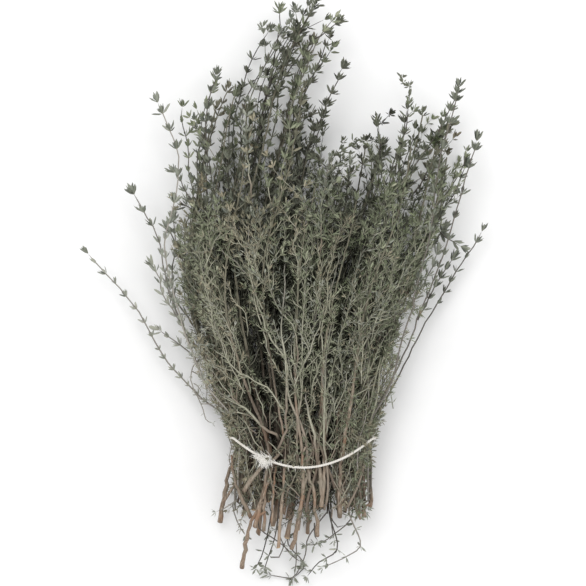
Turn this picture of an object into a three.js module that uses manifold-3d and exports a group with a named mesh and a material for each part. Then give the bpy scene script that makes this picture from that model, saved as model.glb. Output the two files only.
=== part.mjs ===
// A bundle of dried thyme, tied with one turn of thin string and lying on its side.
//
// Millimetres, +Z up. The bundle lies along Y, its tips towards +Y and its cut ends towards -Y, on a surface
// at z = 0. Each sprig is one grown piece: a woody stem with its side shoots, which swell at each whorl of
// leaves. It is drawn from the tie, at y = 0, and moved at the end so that the origin is the bottom centre of
// its box.
import * as THREE from "three";
import { mergeVertices } from "three/addons/utils/BufferGeometryUtils.js";
import Module from "manifold-3d";

const wasm = await Module();
wasm.setup();

// ---- Driving dimensions. A pair in brackets is a range that the sprigs spread over. ----

// The outline seen from above, as [distance from the tie, x] along each side.
const LEFT_EDGE = [
  [-50, -44], [0, -33], [40, -52], [80, -66], [110, -69], [150, -61], [195, -48], [240, -20],
];
const RIGHT_EDGE = [
  [-50, 38], [0, 34], [40, 46], [80, 60], [120, 76], [160, 86], [200, 92], [240, 96],
];
// How far the sprigs reach past the tie, as [place across the bundle from -1 to 1, distance].
const REACH = [
  [-1, 150], [-0.9, 186], [-0.78, 206], [-0.6, 222], [-0.44, 236], [-0.3, 230],
  [-0.2, 192], [-0.06, 152], [0.14, 166], [0.3, 170], [0.5, 180], [0.7, 184], [0.85, 188], [1, 158],
];
const REACH_SHARE = [1, 0.74];
// Height of the pile above its lowest layer, and of that layer's centre lines above the surface.
const PILE_HEIGHT = [[-50, 44], [0, 38], [60, 52], [120, 54], [180, 46], [240, 30]];
const LYING_HEIGHT = [[-50, 1.9], [-32, 2.1], [-12, 4], [0, 4.2], [14, 4], [42, 2.6], [240, 2.6]];
// The tie draws the edges of the pile up off the surface.
const EDGE_LIFT = [[-50, 1], [-20, 6], [0, 8], [20, 6], [60, 1], [240, 0]];
const EDGE_FALL = 0.3;

// Sprigs in each layer of the pile, from the surface up, and the layer's width as a share of the bundle's.
const LAYERS = [6, 7, 8, 8, 7, 5];
const LAYER_WIDTH = [0.76, 0.93, 1, 0.98, 0.88, 0.7];
const UNEVENNESS = 0.17;

// Most stems are cut off near the first of these places, and a few run on nearly to the second. They are shorter
// towards the right side, where this share of the difference is left.
const CUT_END = [-20, -48];
const CUT_UNEVENNESS = 1.7;
const RIGHT_CUT_SHARE = 0.45;
const BASE_RADIUS = [1.15, 1.7];
const TIE_TAPER = 0.92;
const PAST_TIE = 24;
const PAST_TIE_TAPER = 0.8;
const TWIG_RADIUS = 0.6;
const TIP_RADIUS = 0.35;
const FIRST_LEAVES = [46, 68];
const WHORL_PITCH = 24;
const WHORL_RISE = 5;
const WHORL_RADIUS = [2.2, 1.76];
const STEM_SIDES = 5;

const SHOOTS_PER_SPRIG = 2;
const SHOOT_START = [22, 56];
const SHOOT_REACH_SHARE = [0.92, 0.62];
const SHORTEST_SHOOT = 46;
const SHOOT_BARE_LENGTH = 20;
const SHOOT_THICKNESS = 0.5;
const SHOOT_OFFSET = 0.088;
const SHOOT_LEVEL_OFFSET = 0.055;
const SHOOT_CURVE = 13;
const TWIG_SIDES = 4;

// A stem's slow bends sideways, and up and down. The lowest layers bend little up and down.
const WANDER = 1.1;
const WANDER_LENGTH = [105, 80];
const FREE_LEVEL = 0.33;

const STRING_RADIUS = 0.9;
const STRING_GAP = 0.9;
const STRING_SIDE_PLACE = 9;
const STRING_BOW_TOP = 14.5;
const STRING_BOW_BOTTOM = 4;
const STRING_HALF_WIDTH = 36;
const STRING_SUPPORTS = 36;
const STRING_SUPPORT_PASSES = 4;
const STRING_SPAN = 5;
const STRING_STEPS = 60;
const STRING_SIDES = 5;
const KNOT_ANGLE = 1.88;
const KNOT_SIZE = [4.4, 3.6, 2.6];
const TAIL_LENGTH = 8;
const TAIL_TURNS = [-2.3, -1.2];
const TAIL_RADII = [0.8, 0.9, 1.1];
const TAIL_ARCH = 1.2;

const WOOD = new THREE.MeshStandardMaterial({ color: 0x7d7264, roughness: 0.85, metalness: 0 });
const TWIG = new THREE.MeshStandardMaterial({ color: 0x6c6e5c, roughness: 0.85, metalness: 0 });
const STRING = new THREE.MeshStandardMaterial({ color: 0xd9d3c8, roughness: 0.9, metalness: 0 });

// ---- Spreads and the places of stems ----

// Even values from 0 to 1: the nth one of the series named by a prime number.
const share = (n, prime) => ((n + 1) * Math.sqrt(prime)) % 1;

// The nth value of a range that the same series spreads over.
const spread = ([first, last], n, prime) => first + (last - first) * share(n, prime);

// The value of a table of [place, value] points, on a smooth curve through them.
function along(table, place) {
  let k = 1;
  while (k < table.length - 1 && place > table[k][0]) k += 1;
  const [[x0, y0], [x1, y1]] = [table[k - 1], table[k]];
  const before = table[Math.max(k - 2, 0)];
  const after = table[Math.min(k + 1, table.length - 1)];
  const width = x1 - x0;
  const slope0 = (y1 - before[1]) / (x1 - before[0]);
  const slope1 = (after[1] - y0) / (after[0] - x0);
  const t = Math.min(Math.max((place - x0) / width, 0), 1);
  const rise = y0 + (y1 - y0) * t * t * (3 - 2 * t);
  return rise + width * t * (1 - t) * (slope0 * (1 - t) - slope1 * t);
}

// Where a stem lies at a distance y from the tie, by its place across the bundle and its level in the pile.
// Stems keep their order, so they fan out without crossing.
function lie(across, level, y) {
  const left = along(LEFT_EDGE, y);
  const right = along(RIGHT_EDGE, y);
  const pile = along(PILE_HEIGHT, y) * (1 - EDGE_FALL * across * across);
  const floor = along(LYING_HEIGHT, y) + along(EDGE_LIFT, y) * across * across * (1 - level);
  return new THREE.Vector3((left + right) / 2 + (across * (right - left)) / 2, y, floor + level * pile);
}

function stemPath(sprig) {
  const [sideways, upwards] = WANDER_LENGTH;
  const freedom = Math.min(1, sprig.level / FREE_LEVEL);
  return (y) => {
    const point = lie(sprig.across, sprig.level, y);
    point.x += WANDER * Math.sin((2 * Math.PI * y) / sideways + sprig.phase);
    point.z += WANDER * Math.sin((2 * Math.PI * y) / upwards + 2 * sprig.phase) * freedom;
    return point;
  };
}

// A side shoot leaves its stem at an angle and then runs beside it.
function shootPath(sprig, side, start) {
  const stem = stemPath(sprig);
  return (y) => {
    const apart = side * (1 - Math.exp(-Math.max(y - start, 0) / SHOOT_CURVE));
    const here = lie(sprig.across, sprig.level, y);
    const level = Math.max(sprig.level + SHOOT_LEVEL_OFFSET * apart, 0);
    const there = lie(sprig.across + SHOOT_OFFSET * apart, level, y);
    return stem(y).add(there.sub(here));
  };
}

// ---- Rods, and the pieces made from them ----

// A closed, many-sided rod along a path. Its rings are [place on the path, radius], from its base to its tip.
function rod(path, rings, sides) {
  const last = rings.length - 1;
  const geometry = new THREE.CylinderGeometry(1, 1, 1, sides, last);
  const position = geometry.getAttribute("position");
  const up = new THREE.Vector3(0, 0, 1);
  for (let i = 0; i < position.count; i += 1) {
    const [place, radius] = rings[Math.round((position.getY(i) + 0.5) * last)];
    const ahead = path(place + 0.5).sub(path(place - 0.5)).normalize();
    const right = ahead.clone().cross(up).normalize();
    const over = right.clone().cross(ahead);
    const point = path(place)
      .addScaledVector(right, radius * position.getX(i))
      .addScaledVector(over, radius * position.getZ(i));
    position.setXYZ(i, point.x, point.y, point.z);
  }
  return geometry;
}

// The rings of a shoot: bare wood up to its first leaves, then a whorl every pitch, and its tip.
function leafyRings(start, firstLeaves, tip, startRadius) {
  const rings = [[start, startRadius]];
  const whorls = Math.max(1, Math.round((tip - firstLeaves) / WHORL_PITCH));
  const pitch = (tip - firstLeaves) / whorls;
  for (let k = 0; k < whorls; k += 1) {
    const y = firstLeaves + k * pitch;
    const bare = startRadius + (TWIG_RADIUS - startRadius) * ((y - start) / (tip - start));
    rings.push([y, bare], [y + WHORL_RISE, spread(WHORL_RADIUS, k, 3)]);
  }
  rings.push([tip, TIP_RADIUS]);
  return rings;
}

// A geometry as a manifold-3d solid, and back.
function solid(geometry) {
  const bare = new THREE.BufferGeometry();
  bare.setAttribute("position", geometry.getAttribute("position"));
  bare.setIndex(geometry.index);
  const merged = mergeVertices(bare, 1e-3);
  return new wasm.Manifold(
    new wasm.Mesh({
      numProp: 3,
      vertProperties: merged.getAttribute("position").array,
      triVerts: new Uint32Array(merged.index.array),
    }),
  );
}

function geometryOf(body) {
  const mesh = body.getMesh();
  const geometry = new THREE.BufferGeometry();
  geometry.setAttribute("position", new THREE.BufferAttribute(mesh.vertProperties, 3));
  geometry.setIndex(new THREE.BufferAttribute(mesh.triVerts, 1));
  return geometry;
}

const bundle = new THREE.Group();

function addPiece(name, body, material) {
  const geometry = geometryOf(body).toNonIndexed();
  geometry.computeVertexNormals();
  const mesh = new THREE.Mesh(geometry, material);
  mesh.name = name;
  bundle.add(mesh);
}

// ---- Sprigs: woody stems in layers, each with its side shoots ----

function cutPlace(across, n) {
  const [shortest, longest] = CUT_END;
  const sideShare = 1 - (1 - RIGHT_CUT_SHARE) * Math.max(across, 0);
  return shortest + (longest - shortest) * sideShare * share(n, 5) ** CUT_UNEVENNESS;
}

function sprigsInLayers() {
  const sprigs = [];
  LAYERS.forEach((count, layer) => {
    for (let k = 0; k < count; k += 1) {
      const n = sprigs.length;
      const even = (2 * (k + 0.5)) / count - 1;
      const across = LAYER_WIDTH[layer] * (even + spread([-UNEVENNESS, UNEVENNESS], n, 2) / count);
      sprigs.push({
        across,
        level: layer / (LAYERS.length - 1),
        phase: 2 * Math.PI * share(n, 3),
        cutEnd: cutPlace(across, n),
        tip: along(REACH, across) * spread(REACH_SHARE, n, 7),
        radius: spread(BASE_RADIUS, n, 11),
      });
    }
  });
  return sprigs;
}

function sprigBody(sprig, n) {
  const rings = [[sprig.cutEnd, sprig.radius], [0, sprig.radius * TIE_TAPER]];
  const green = sprig.radius * PAST_TIE_TAPER;
  rings.push(...leafyRings(PAST_TIE, spread(FIRST_LEAVES, n, 13), sprig.tip, green));
  let body = solid(rod(stemPath(sprig), rings, STEM_SIDES));
  for (let k = 0; k < SHOOTS_PER_SPRIG; k += 1) {
    const side = k % 2 ? -1 : 1;
    const start = spread(SHOOT_START, n + k, 17);
    const tip = Math.max(start + SHORTEST_SHOOT, sprig.tip * spread(SHOOT_REACH_SHARE, n + k, 19));
    const shootRings = leafyRings(start, start + SHOOT_BARE_LENGTH, tip, sprig.radius * SHOOT_THICKNESS);
    body = body.add(solid(rod(shootPath(sprig, side, start), shootRings, TWIG_SIDES)));
  }
  return body;
}

const sprigs = sprigsInLayers();
sprigs.forEach((sprig, n) => {
  const number = String(n + 1).padStart(2, "0");
  addPiece(`sprig_${number}`, sprigBody(sprig, n), WOOD);
});

// ---- Stray sprigs: long thin ones that stand away from the sides of the bundle ----

// Each runs straight through the tie, at its edge, and then out through these points to its tip.
const STRAY_SPRIGS = {
  stray_left_low: [
    [-35.5, -30, 17], [-35.5, -12, 17], [-35.8, 15, 17], [-53, 29, 16], [-73, 52, 13.5],
    [-91, 82, 15], [-112, 105, 17],
  ],
  stray_left_middle: [
    [-35.3, -24, 25], [-35.3, -12, 25], [-35.5, 15, 25], [-54, 42, 27], [-71, 90, 30],
    [-77, 118, 32], [-87, 138, 33],
  ],
  stray_left_high: [
    [-33.8, -20, 33], [-33.8, -12, 33], [-34.5, 15, 34], [-54, 42, 40], [-72, 105, 45],
    [-66, 150, 42], [-77, 184, 37],
  ],
  stray_right_low: [
    [35.5, -26, 16], [35.5, -12, 16], [36, 15, 16], [46, 32, 14], [60, 60, 12],
    [76, 90, 14], [93, 117, 17],
  ],
  stray_right_middle: [
    [35.5, -18, 25], [35.5, -12, 25], [36, 15, 25], [47, 40, 27], [61, 72, 29],
    [79, 118, 33], [92, 163, 33],
  ],
  stray_right_high: [
    [33.8, -24, 34], [33.8, -12, 34], [34.5, 15, 34], [47, 40, 42], [65, 106, 47],
    [73, 150, 43], [82, 190, 36],
  ],
};
// A stray sprig is bare for a share of its length, and then has this many whorls.
const STRAY = { bareShare: 0.36, whorls: 6, whorlRadius: 1.9 };
const STRAY_RADIUS = 0.8;
// It bends away just past the string, so it takes more room there than its radius.
const STRAY_ROOM = 1.3;
const THIN_WHORL_RISE = 4;

// A path through points. It is asked by its share of the way from 0 to 1, and runs on straight past its ends.
function pathThrough(points) {
  const places = points.map((point) => new THREE.Vector3(...point));
  const curve = new THREE.CatmullRomCurve3(places, false, "catmullrom", 0.5);
  return (part) => {
    const inside = Math.min(Math.max(part, 0), 1);
    const point = curve.getPointAt(inside);
    return point.addScaledVector(curve.getTangentAt(inside), (part - inside) * curve.getLength());
  };
}

function lengthThrough(points) {
  return new THREE.CatmullRomCurve3(points.map((p) => new THREE.Vector3(...p))).getLength();
}

// A thin twig through points. The rod asks for its path by millimetres from the cut end.
function twigBody(points, { bareShare, whorls, whorlRadius }) {
  const path = pathThrough(points);
  const length = lengthThrough(points);
  const rings = [0, 0.25, 0.5, 0.75].map((part) => [length * bareShare * part, STRAY_RADIUS]);
  for (let k = 0; k < whorls; k += 1) {
    const place = length * (bareShare + ((1 - bareShare) * k) / whorls);
    rings.push([place, TWIG_RADIUS], [place + THIN_WHORL_RISE, whorlRadius]);
  }
  rings.push([length, TIP_RADIUS]);
  return solid(rod((place) => path(place / length), rings, TWIG_SIDES));
}

for (const [name, points] of Object.entries(STRAY_SPRIGS)) {
  addPiece(name, twigBody(points, STRAY), TWIG);
}

// ---- Loose twigs: thin leafy ones that hang out past the cut ends ----

const LOOSE_TWIGS = {
  loose_twig_1: [[-2, -12, 8], [-5, -32, 8.5], [-8, -48, 7], [1, -60, 5], [-6, -68, 3]],
  loose_twig_2: [[12, -10, 23], [14, -32, 23], [18, -50, 20], [8, -58, 14], [2, -66, 9]],
  loose_twig_3: [[-14, -12, 23], [-17, -34, 24], [-21, -52, 20], [-25, -61, 15]],
  loose_twig_4: [[22, -8, 34], [24, -30, 35], [30, -47, 29], [22, -54, 23], [10, -60, 19]],
};
const LOOSE = { bareShare: 0.45, whorls: 3, whorlRadius: 1.3 };

for (const [name, points] of Object.entries(LOOSE_TWIGS)) {
  addPiece(name, twigBody(points, LOOSE), TWIG);
}

// ---- Tie: one turn of string, pulled tight round the stems, with its knot and two short tails ----

const STRING_MIDDLE = along(PILE_HEIGHT, 0) / 2 + along(LYING_HEIGHT, 0);

// Front and back, the string sags towards the cut ends between its two sides.
function sag(point) {
  const bow = point.z > STRING_MIDDLE ? STRING_BOW_TOP : STRING_BOW_BOTTOM;
  return STRING_SIDE_PLACE - bow * (1 - Math.min(1, (point.x / STRING_HALF_WIDTH) ** 2));
}

// The string's centre at an angle about the bundle and a place along it, on the stem that reaches furthest out.
function touchingPoint(angle, y) {
  const outward = new THREE.Vector2(Math.cos(angle), Math.sin(angle));
  const stems = sprigs.map((sprig) => ({ at: stemPath(sprig)(y), radius: sprig.radius }));
  const strayPlaces = Object.values(STRAY_SPRIGS).map((points) => points[1]);
  stems.push(...strayPlaces.map(([x, , z]) => ({ at: new THREE.Vector3(x, y, z), radius: STRAY_ROOM })));
  const reach = ({ at, radius }) => at.x * outward.x + (at.z - STRING_MIDDLE) * outward.y + radius;
  const outermost = stems.reduce((best, stem) => (reach(stem) > reach(best) ? stem : best));
  const clear = outermost.radius + STRING_GAP + STRING_RADIUS;
  return new THREE.Vector3(outermost.at.x + clear * outward.x, y, outermost.at.z + clear * outward.y);
}

// The place along the bundle depends on the point across it, so both are found together, in a few passes.
function stringPoint(angle) {
  let point = touchingPoint(angle, STRING_SIDE_PLACE);
  for (let pass = 0; pass < STRING_SUPPORT_PASSES; pass += 1) point = touchingPoint(angle, sag(point));
  return point.setY(sag(point));
}

// The string runs straight from one touching point to the next, as seen along the bundle.
function stringLoop() {
  const turn = (2 * Math.PI) / STRING_SUPPORTS;
  const supports = Array.from({ length: STRING_SUPPORTS }, (_, k) => stringPoint(turn * k));
  const points = supports.flatMap((from, k) => {
    const to = supports[(k + 1) % STRING_SUPPORTS];
    const parts = Math.max(1, Math.round(from.distanceTo(to) / STRING_SPAN));
    return Array.from({ length: parts }, (_, part) => {
      const point = from.clone().lerp(to, part / parts);
      return point.setY(sag(point));
    });
  });
  return new THREE.CatmullRomCurve3(points, true, "centripetal");
}

function knotPlace() {
  return stringPoint(KNOT_ANGLE).add(new THREE.Vector3(0, 0, KNOT_SIZE[2] * 0.4));
}

function knotBody() {
  const knot = new THREE.SphereGeometry(1, 10, 6);
  knot.scale(...KNOT_SIZE);
  knot.translate(...knotPlace());
  return solid(knot);
}

// A short frayed tail, which leaves the knot at a turn about +Z and arches over to its end.
function tailBody(turn) {
  const start = knotPlace();
  const points = [0, 0.5, 1].map((part) => [
    start.x + TAIL_LENGTH * part * Math.cos(turn),
    start.y + TAIL_LENGTH * part * Math.sin(turn),
    start.z + TAIL_ARCH * (Math.sin(Math.PI * part) - part / 2),
  ]);
  const path = pathThrough(points);
  const rings = TAIL_RADII.map((radius, k) => [(TAIL_LENGTH * k) / 2, radius]);
  return solid(rod((place) => path(place / TAIL_LENGTH), rings, 6));
}

let tie = solid(new THREE.TubeGeometry(stringLoop(), STRING_STEPS, STRING_RADIUS, STRING_SIDES, true));
tie = tie.add(knotBody());
for (const turn of TAIL_TURNS) tie = tie.add(tailBody(turn));
addPiece("tie_string", tie, STRING);

// ---- Place the bundle with its origin at the bottom centre of its box ----

const box = new THREE.Box3().setFromObject(bundle);
const centre = box.getCenter(new THREE.Vector3());
bundle.position.set(-centre.x, -centre.y, -box.min.z);

export default bundle;
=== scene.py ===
# The looks of a bundle of dried thyme, tied with one turn of string and lying on its side.
import math
from types import SimpleNamespace

import bpy
import numpy as np
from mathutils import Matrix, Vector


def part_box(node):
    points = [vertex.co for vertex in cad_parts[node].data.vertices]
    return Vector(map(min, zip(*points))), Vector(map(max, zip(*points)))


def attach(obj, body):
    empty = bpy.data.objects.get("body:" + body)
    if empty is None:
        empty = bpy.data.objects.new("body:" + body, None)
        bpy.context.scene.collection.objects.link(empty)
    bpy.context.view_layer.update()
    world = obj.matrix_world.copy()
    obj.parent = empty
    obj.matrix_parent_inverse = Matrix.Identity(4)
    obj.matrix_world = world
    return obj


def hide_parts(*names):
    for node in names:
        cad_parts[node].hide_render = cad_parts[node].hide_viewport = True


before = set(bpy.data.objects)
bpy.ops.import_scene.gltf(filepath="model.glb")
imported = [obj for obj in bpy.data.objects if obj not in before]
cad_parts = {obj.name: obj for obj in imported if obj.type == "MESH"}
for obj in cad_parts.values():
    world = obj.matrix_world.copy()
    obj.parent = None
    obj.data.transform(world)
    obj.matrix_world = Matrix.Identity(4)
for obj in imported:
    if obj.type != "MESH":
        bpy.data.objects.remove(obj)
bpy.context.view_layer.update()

# ---- Woody stems ----
# Forty-one woody stems of garden thyme, cut from the plant and laid side by side in six layers, tips towards
# +Y. Each is brown and ridged, 2 to 3 mm thick at its slanted cut, and as thin as thread at its tip.

# Shapes are drawn in millimetres from the tie, as the solids are, and then placed in metres. The tie is found
# from two solids: the string lies a little to its right, and one stray sprig is cut off below it.
MM = 0.001
STRING_OFF_CENTRE = 0.04
STRAY_CUT_OFF = 30
NEAREST_SURFACE = 0.05
string_low, string_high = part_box("tie_string")
TIE = np.array([
    (string_low.x + string_high.x) / 2 - STRING_OFF_CENTRE * MM,
    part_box("stray_left_low")[0].y + STRAY_CUT_OFF * MM,
    0,
])


def placed(points):
    """Points in millimetres from the tie as points of the frame, none of them below the surface."""
    there = TIE + MM * np.asarray(points, float)
    there[..., 2] = np.maximum(there[..., 2], NEAREST_SURFACE * MM)
    return there


# The outline seen from above, as [distance from the tie, x] along each side.
LEFT_EDGE = [[-50, -44], [0, -33], [40, -52], [80, -66], [110, -69], [150, -61], [195, -48], [240, -20]]
RIGHT_EDGE = [[-50, 38], [0, 34], [40, 46], [80, 60], [120, 76], [160, 86], [200, 92], [240, 96]]
# How far the sprigs reach past the tie, as [place across the bundle from -1 to 1, distance].
REACH = [
    [-1, 150], [-0.9, 186], [-0.78, 206], [-0.6, 222], [-0.44, 236], [-0.3, 230],
    [-0.2, 192], [-0.06, 152], [0.14, 166], [0.3, 170], [0.5, 180], [0.7, 184], [0.85, 188], [1, 158],
]
REACH_SHARE = [1, 0.74]
# Height of the pile above its lowest layer, and of that layer above the surface, by distance from the tie.
# The tie draws the edges of the pile up off the surface.
PILE_HEIGHT = [[-50, 44], [0, 38], [60, 52], [120, 54], [180, 46], [240, 30]]
LYING_HEIGHT = [[-50, 1.9], [-32, 2.1], [-12, 4], [0, 4.2], [14, 4], [42, 2.6], [240, 2.6]]
EDGE_LIFT = [[-50, 1], [-20, 6], [0, 8], [20, 6], [60, 1], [240, 0]]
EDGE_FALL = 0.3
# Sprigs in each layer of the pile, from the surface up, and the layer's width as a share of the bundle's.
LAYERS = [6, 7, 8, 8, 7, 5]
LAYER_WIDTH = [0.76, 0.93, 1, 0.98, 0.88, 0.7]
UNEVENNESS = 0.17
# Most stems are cut off near the first place, and a few nearly at the second, but less far out at the right.
CUT_END = [-20, -48]
CUT_UNEVENNESS = 1.7
RIGHT_CUT_SHARE = 0.45
BASE_RADIUS = [1.15, 1.7]
# Slow bends sideways, and up and down. The lowest layers bend little up and down.
WANDER = 1.1
WANDER_LENGTH = [105, 80]
FREE_LEVEL = 0.33


def share(n, prime):
    """Even values from 0 to 1: the nth one of the series named by a prime number."""
    return (n + 1) * math.sqrt(prime) % 1


def spread(ends, n, prime):
    """The nth value of a range that the same series spreads over."""
    return ends[0] + (ends[1] - ends[0]) * share(n, prime)


def along(table, place):
    """The values at some places of a table of [place, value] points, on a smooth curve through them."""
    at, value = np.array(table, float).T
    k = np.clip(np.searchsorted(at, place), 1, len(at) - 1)
    before, after = np.maximum(k - 2, 0), np.minimum(k + 1, len(at) - 1)
    x0, x1, y0, y1 = at[k - 1], at[k], value[k - 1], value[k]
    slope0 = (y1 - value[before]) / (x1 - at[before])
    slope1 = (value[after] - y0) / (at[after] - x0)
    t = np.clip((place - x0) / (x1 - x0), 0, 1)
    rise = y0 + (y1 - y0) * t * t * (3 - 2 * t)
    return rise + (x1 - x0) * t * (1 - t) * (slope0 * (1 - t) - slope1 * t)


def lie(across, level, y):
    """Where stems lie at distances y from the tie, by their place across the bundle and level in the pile."""
    left, right = along(LEFT_EDGE, y), along(RIGHT_EDGE, y)
    pile = along(PILE_HEIGHT, y) * (1 - EDGE_FALL * across**2)
    floor = along(LYING_HEIGHT, y) + along(EDGE_LIFT, y) * across**2 * (1 - level)
    x = (left + right) / 2 + across * (right - left) / 2
    return np.stack([x, y + 0 * x, floor + level * pile], -1)


def stem_line(sprig, y):
    """The middle line of a sprig's stem at distances y from the tie."""
    sideways, upwards = WANDER_LENGTH
    points = lie(sprig.across, sprig.level, y)
    points[:, 0] += WANDER * np.sin(2 * math.pi * y / sideways + sprig.phase)
    freedom = min(1, sprig.level / FREE_LEVEL)
    points[:, 2] += WANDER * np.sin(2 * math.pi * y / upwards + 2 * sprig.phase) * freedom
    return points


def cut_place(across, n):
    """Where a stem is cut off: mostly near the first place, and less far from it towards the right side."""
    shortest, longest = CUT_END
    side_share = 1 - (1 - RIGHT_CUT_SHARE) * max(across, 0)
    return shortest + (longest - shortest) * side_share * share(n, 5) ** CUT_UNEVENNESS


sprigs = []
for layer, count in enumerate(LAYERS):
    for k in range(count):
        n = len(sprigs)
        even = 2 * (k + 0.5) / count - 1
        across = LAYER_WIDTH[layer] * (even + spread([-UNEVENNESS, UNEVENNESS], n, 2) / count)
        sprigs.append(SimpleNamespace(
            name=f"sprig_{n + 1:02d}",
            across=across,
            level=layer / (len(LAYERS) - 1),
            phase=2 * math.pi * share(n, 3),
            cut_end=cut_place(across, n),
            tip=float(along(REACH, across)) * spread(REACH_SHARE, n, 7),
            radius=spread(BASE_RADIUS, n, 11),
        ))


class Wire:
    """A socket in a material's nodes, or bare nodes to start from, for shader maths as Python expressions."""

    def __init__(self, tree, socket=None):
        self.tree = tree
        self.socket = socket

    def node(self, kind, settings=None, output=0, **inputs):
        """Adds a node with its settings and then its inputs, named or numbered i0, i1. Gives one output."""
        made = self.tree.nodes.new(kind)
        for key, value in (settings or {}).items():
            if key == "stops":
                fill_ramp(made.color_ramp, value)
            else:
                setattr(made, key, value)
        for key, value in inputs.items():
            place = int(key[1:]) if key[0] == "i" and key[1:].isdigit() else key.replace("_", " ")
            self.feed(made.inputs[place], value)
        return Wire(self.tree, made.outputs[output])

    def feed(self, socket, value):
        """Links a wire to a socket, or sets a plain value on it."""
        if isinstance(value, Wire):
            self.tree.links.new(value.socket, socket)
        else:
            socket.default_value = value

    def maths(self, operation, *values):
        """A wire with the result of one sum."""
        inputs = {f"i{k}": value for k, value in enumerate(values)}
        return self.node("ShaderNodeMath", {"operation": operation}, **inputs)

    def __add__(self, other):
        return self.maths("ADD", self, other)

    def __radd__(self, other):
        return self.maths("ADD", other, self)

    def __sub__(self, other):
        return self.maths("SUBTRACT", self, other)

    def __rsub__(self, other):
        return self.maths("SUBTRACT", other, self)

    def __mul__(self, other):
        return self.maths("MULTIPLY", self, other)

    def __rmul__(self, other):
        return self.maths("MULTIPLY", other, self)

    def __truediv__(self, other):
        return self.maths("DIVIDE", self, other)

    def __floordiv__(self, other):
        return self.maths("FLOOR", self / other)

    def __mod__(self, other):
        return self.maths("FLOORED_MODULO", self, other)

    def __abs__(self):
        return self.maths("ABSOLUTE", self)

    def step(self, low, high):
        """From 0 to 1, smoothly, as the value goes from low to high."""
        settings = {"interpolation_type": "SMOOTHSTEP"}
        return self.node("ShaderNodeMapRange", settings, i0=self, i1=low, i2=high, i3=0.0, i4=1.0)

    def mix(self, other, share_of_other):
        """This colour, changed to another one by a share."""
        settings = {"data_type": "RGBA"}
        return self.node("ShaderNodeMix", settings, output=2, i0=share_of_other, i6=self, i7=other)

    def split(self):
        """The X, Y and Z of a vector."""
        parts = self.node("ShaderNodeSeparateXYZ", i0=self)
        return [Wire(self.tree, output) for output in parts.socket.node.outputs]

    def joined(self, x, y, z):
        """A vector of three values."""
        return self.node("ShaderNodeCombineXYZ", i0=x, i1=y, i2=z)

    def noise(self, where, scale, detail=2.0, roughness=0.5):
        """Cloudy values round 0.5, in patches of about one over the scale."""
        return self.node("ShaderNodeTexNoise", Vector=where, Scale=scale, Detail=detail, Roughness=roughness)

    def ramp(self, stops):
        """The colour that this value has on a ramp of [place, colour] stops."""
        return self.node("ShaderNodeValToRGB", {"stops": stops}, i0=self)


def fill_ramp(ramp, stops):
    """Gives a new colour ramp its stops."""
    while len(ramp.elements) < len(stops):
        ramp.elements.new(1)
    for element, (place, colour) in zip(ramp.elements, stops):
        element.position = place
        element.color = colour


def colour(red, green, blue):
    """A colour given in the usual numbers from 0 to 255, in the linear numbers that materials use."""
    linear = [((part / 255 + 0.055) / 1.055) ** 2.4 for part in (red, green, blue)]
    return (*linear, 1)


def new_material(name, roughness, specular=0.3):
    """A matt material: itself, a Wire to mix its colour from, and its shader."""
    material = bpy.data.materials.new(name)
    material.use_nodes = True
    shader = material.node_tree.nodes["Principled BSDF"]
    shader.inputs["Roughness"].default_value = roughness
    shader.inputs["Specular IOR Level"].default_value = specular
    return material, Wire(material.node_tree), shader


# Where bark changes, in millimetres from the tie and above the surface: a range for each gradual change.
PALER_END = [-46, -8]
# Bark on top of the pile gets a painted highlight, from the first height to the second.
PAINTED_HIGHLIGHT_HEIGHT = [38, 44]
YOUNG_WOOD = [20, 80]
YOUNG_WOOD_RAGGED = 90
# Painted shade on bark inside the pile: under a height, above another, within an x and past a distance.
BARK_SHADE_UNDER = [24, 37]
BARK_SHADE_ABOVE = [4, 10]
BARK_SHADE_WITHIN = [26, 36]
BARK_SHADE_PAST = [-35, -5]
# Painted shade on bark in the dark hollow at the left: its middle, half size and edge.
GAP_SHADE_MIDDLE = [-21.5, 36]
GAP_SHADE_HALF_SIZE = [9, 44]
GAP_SHADE_EDGE = [0.45, 1.2]


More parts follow.
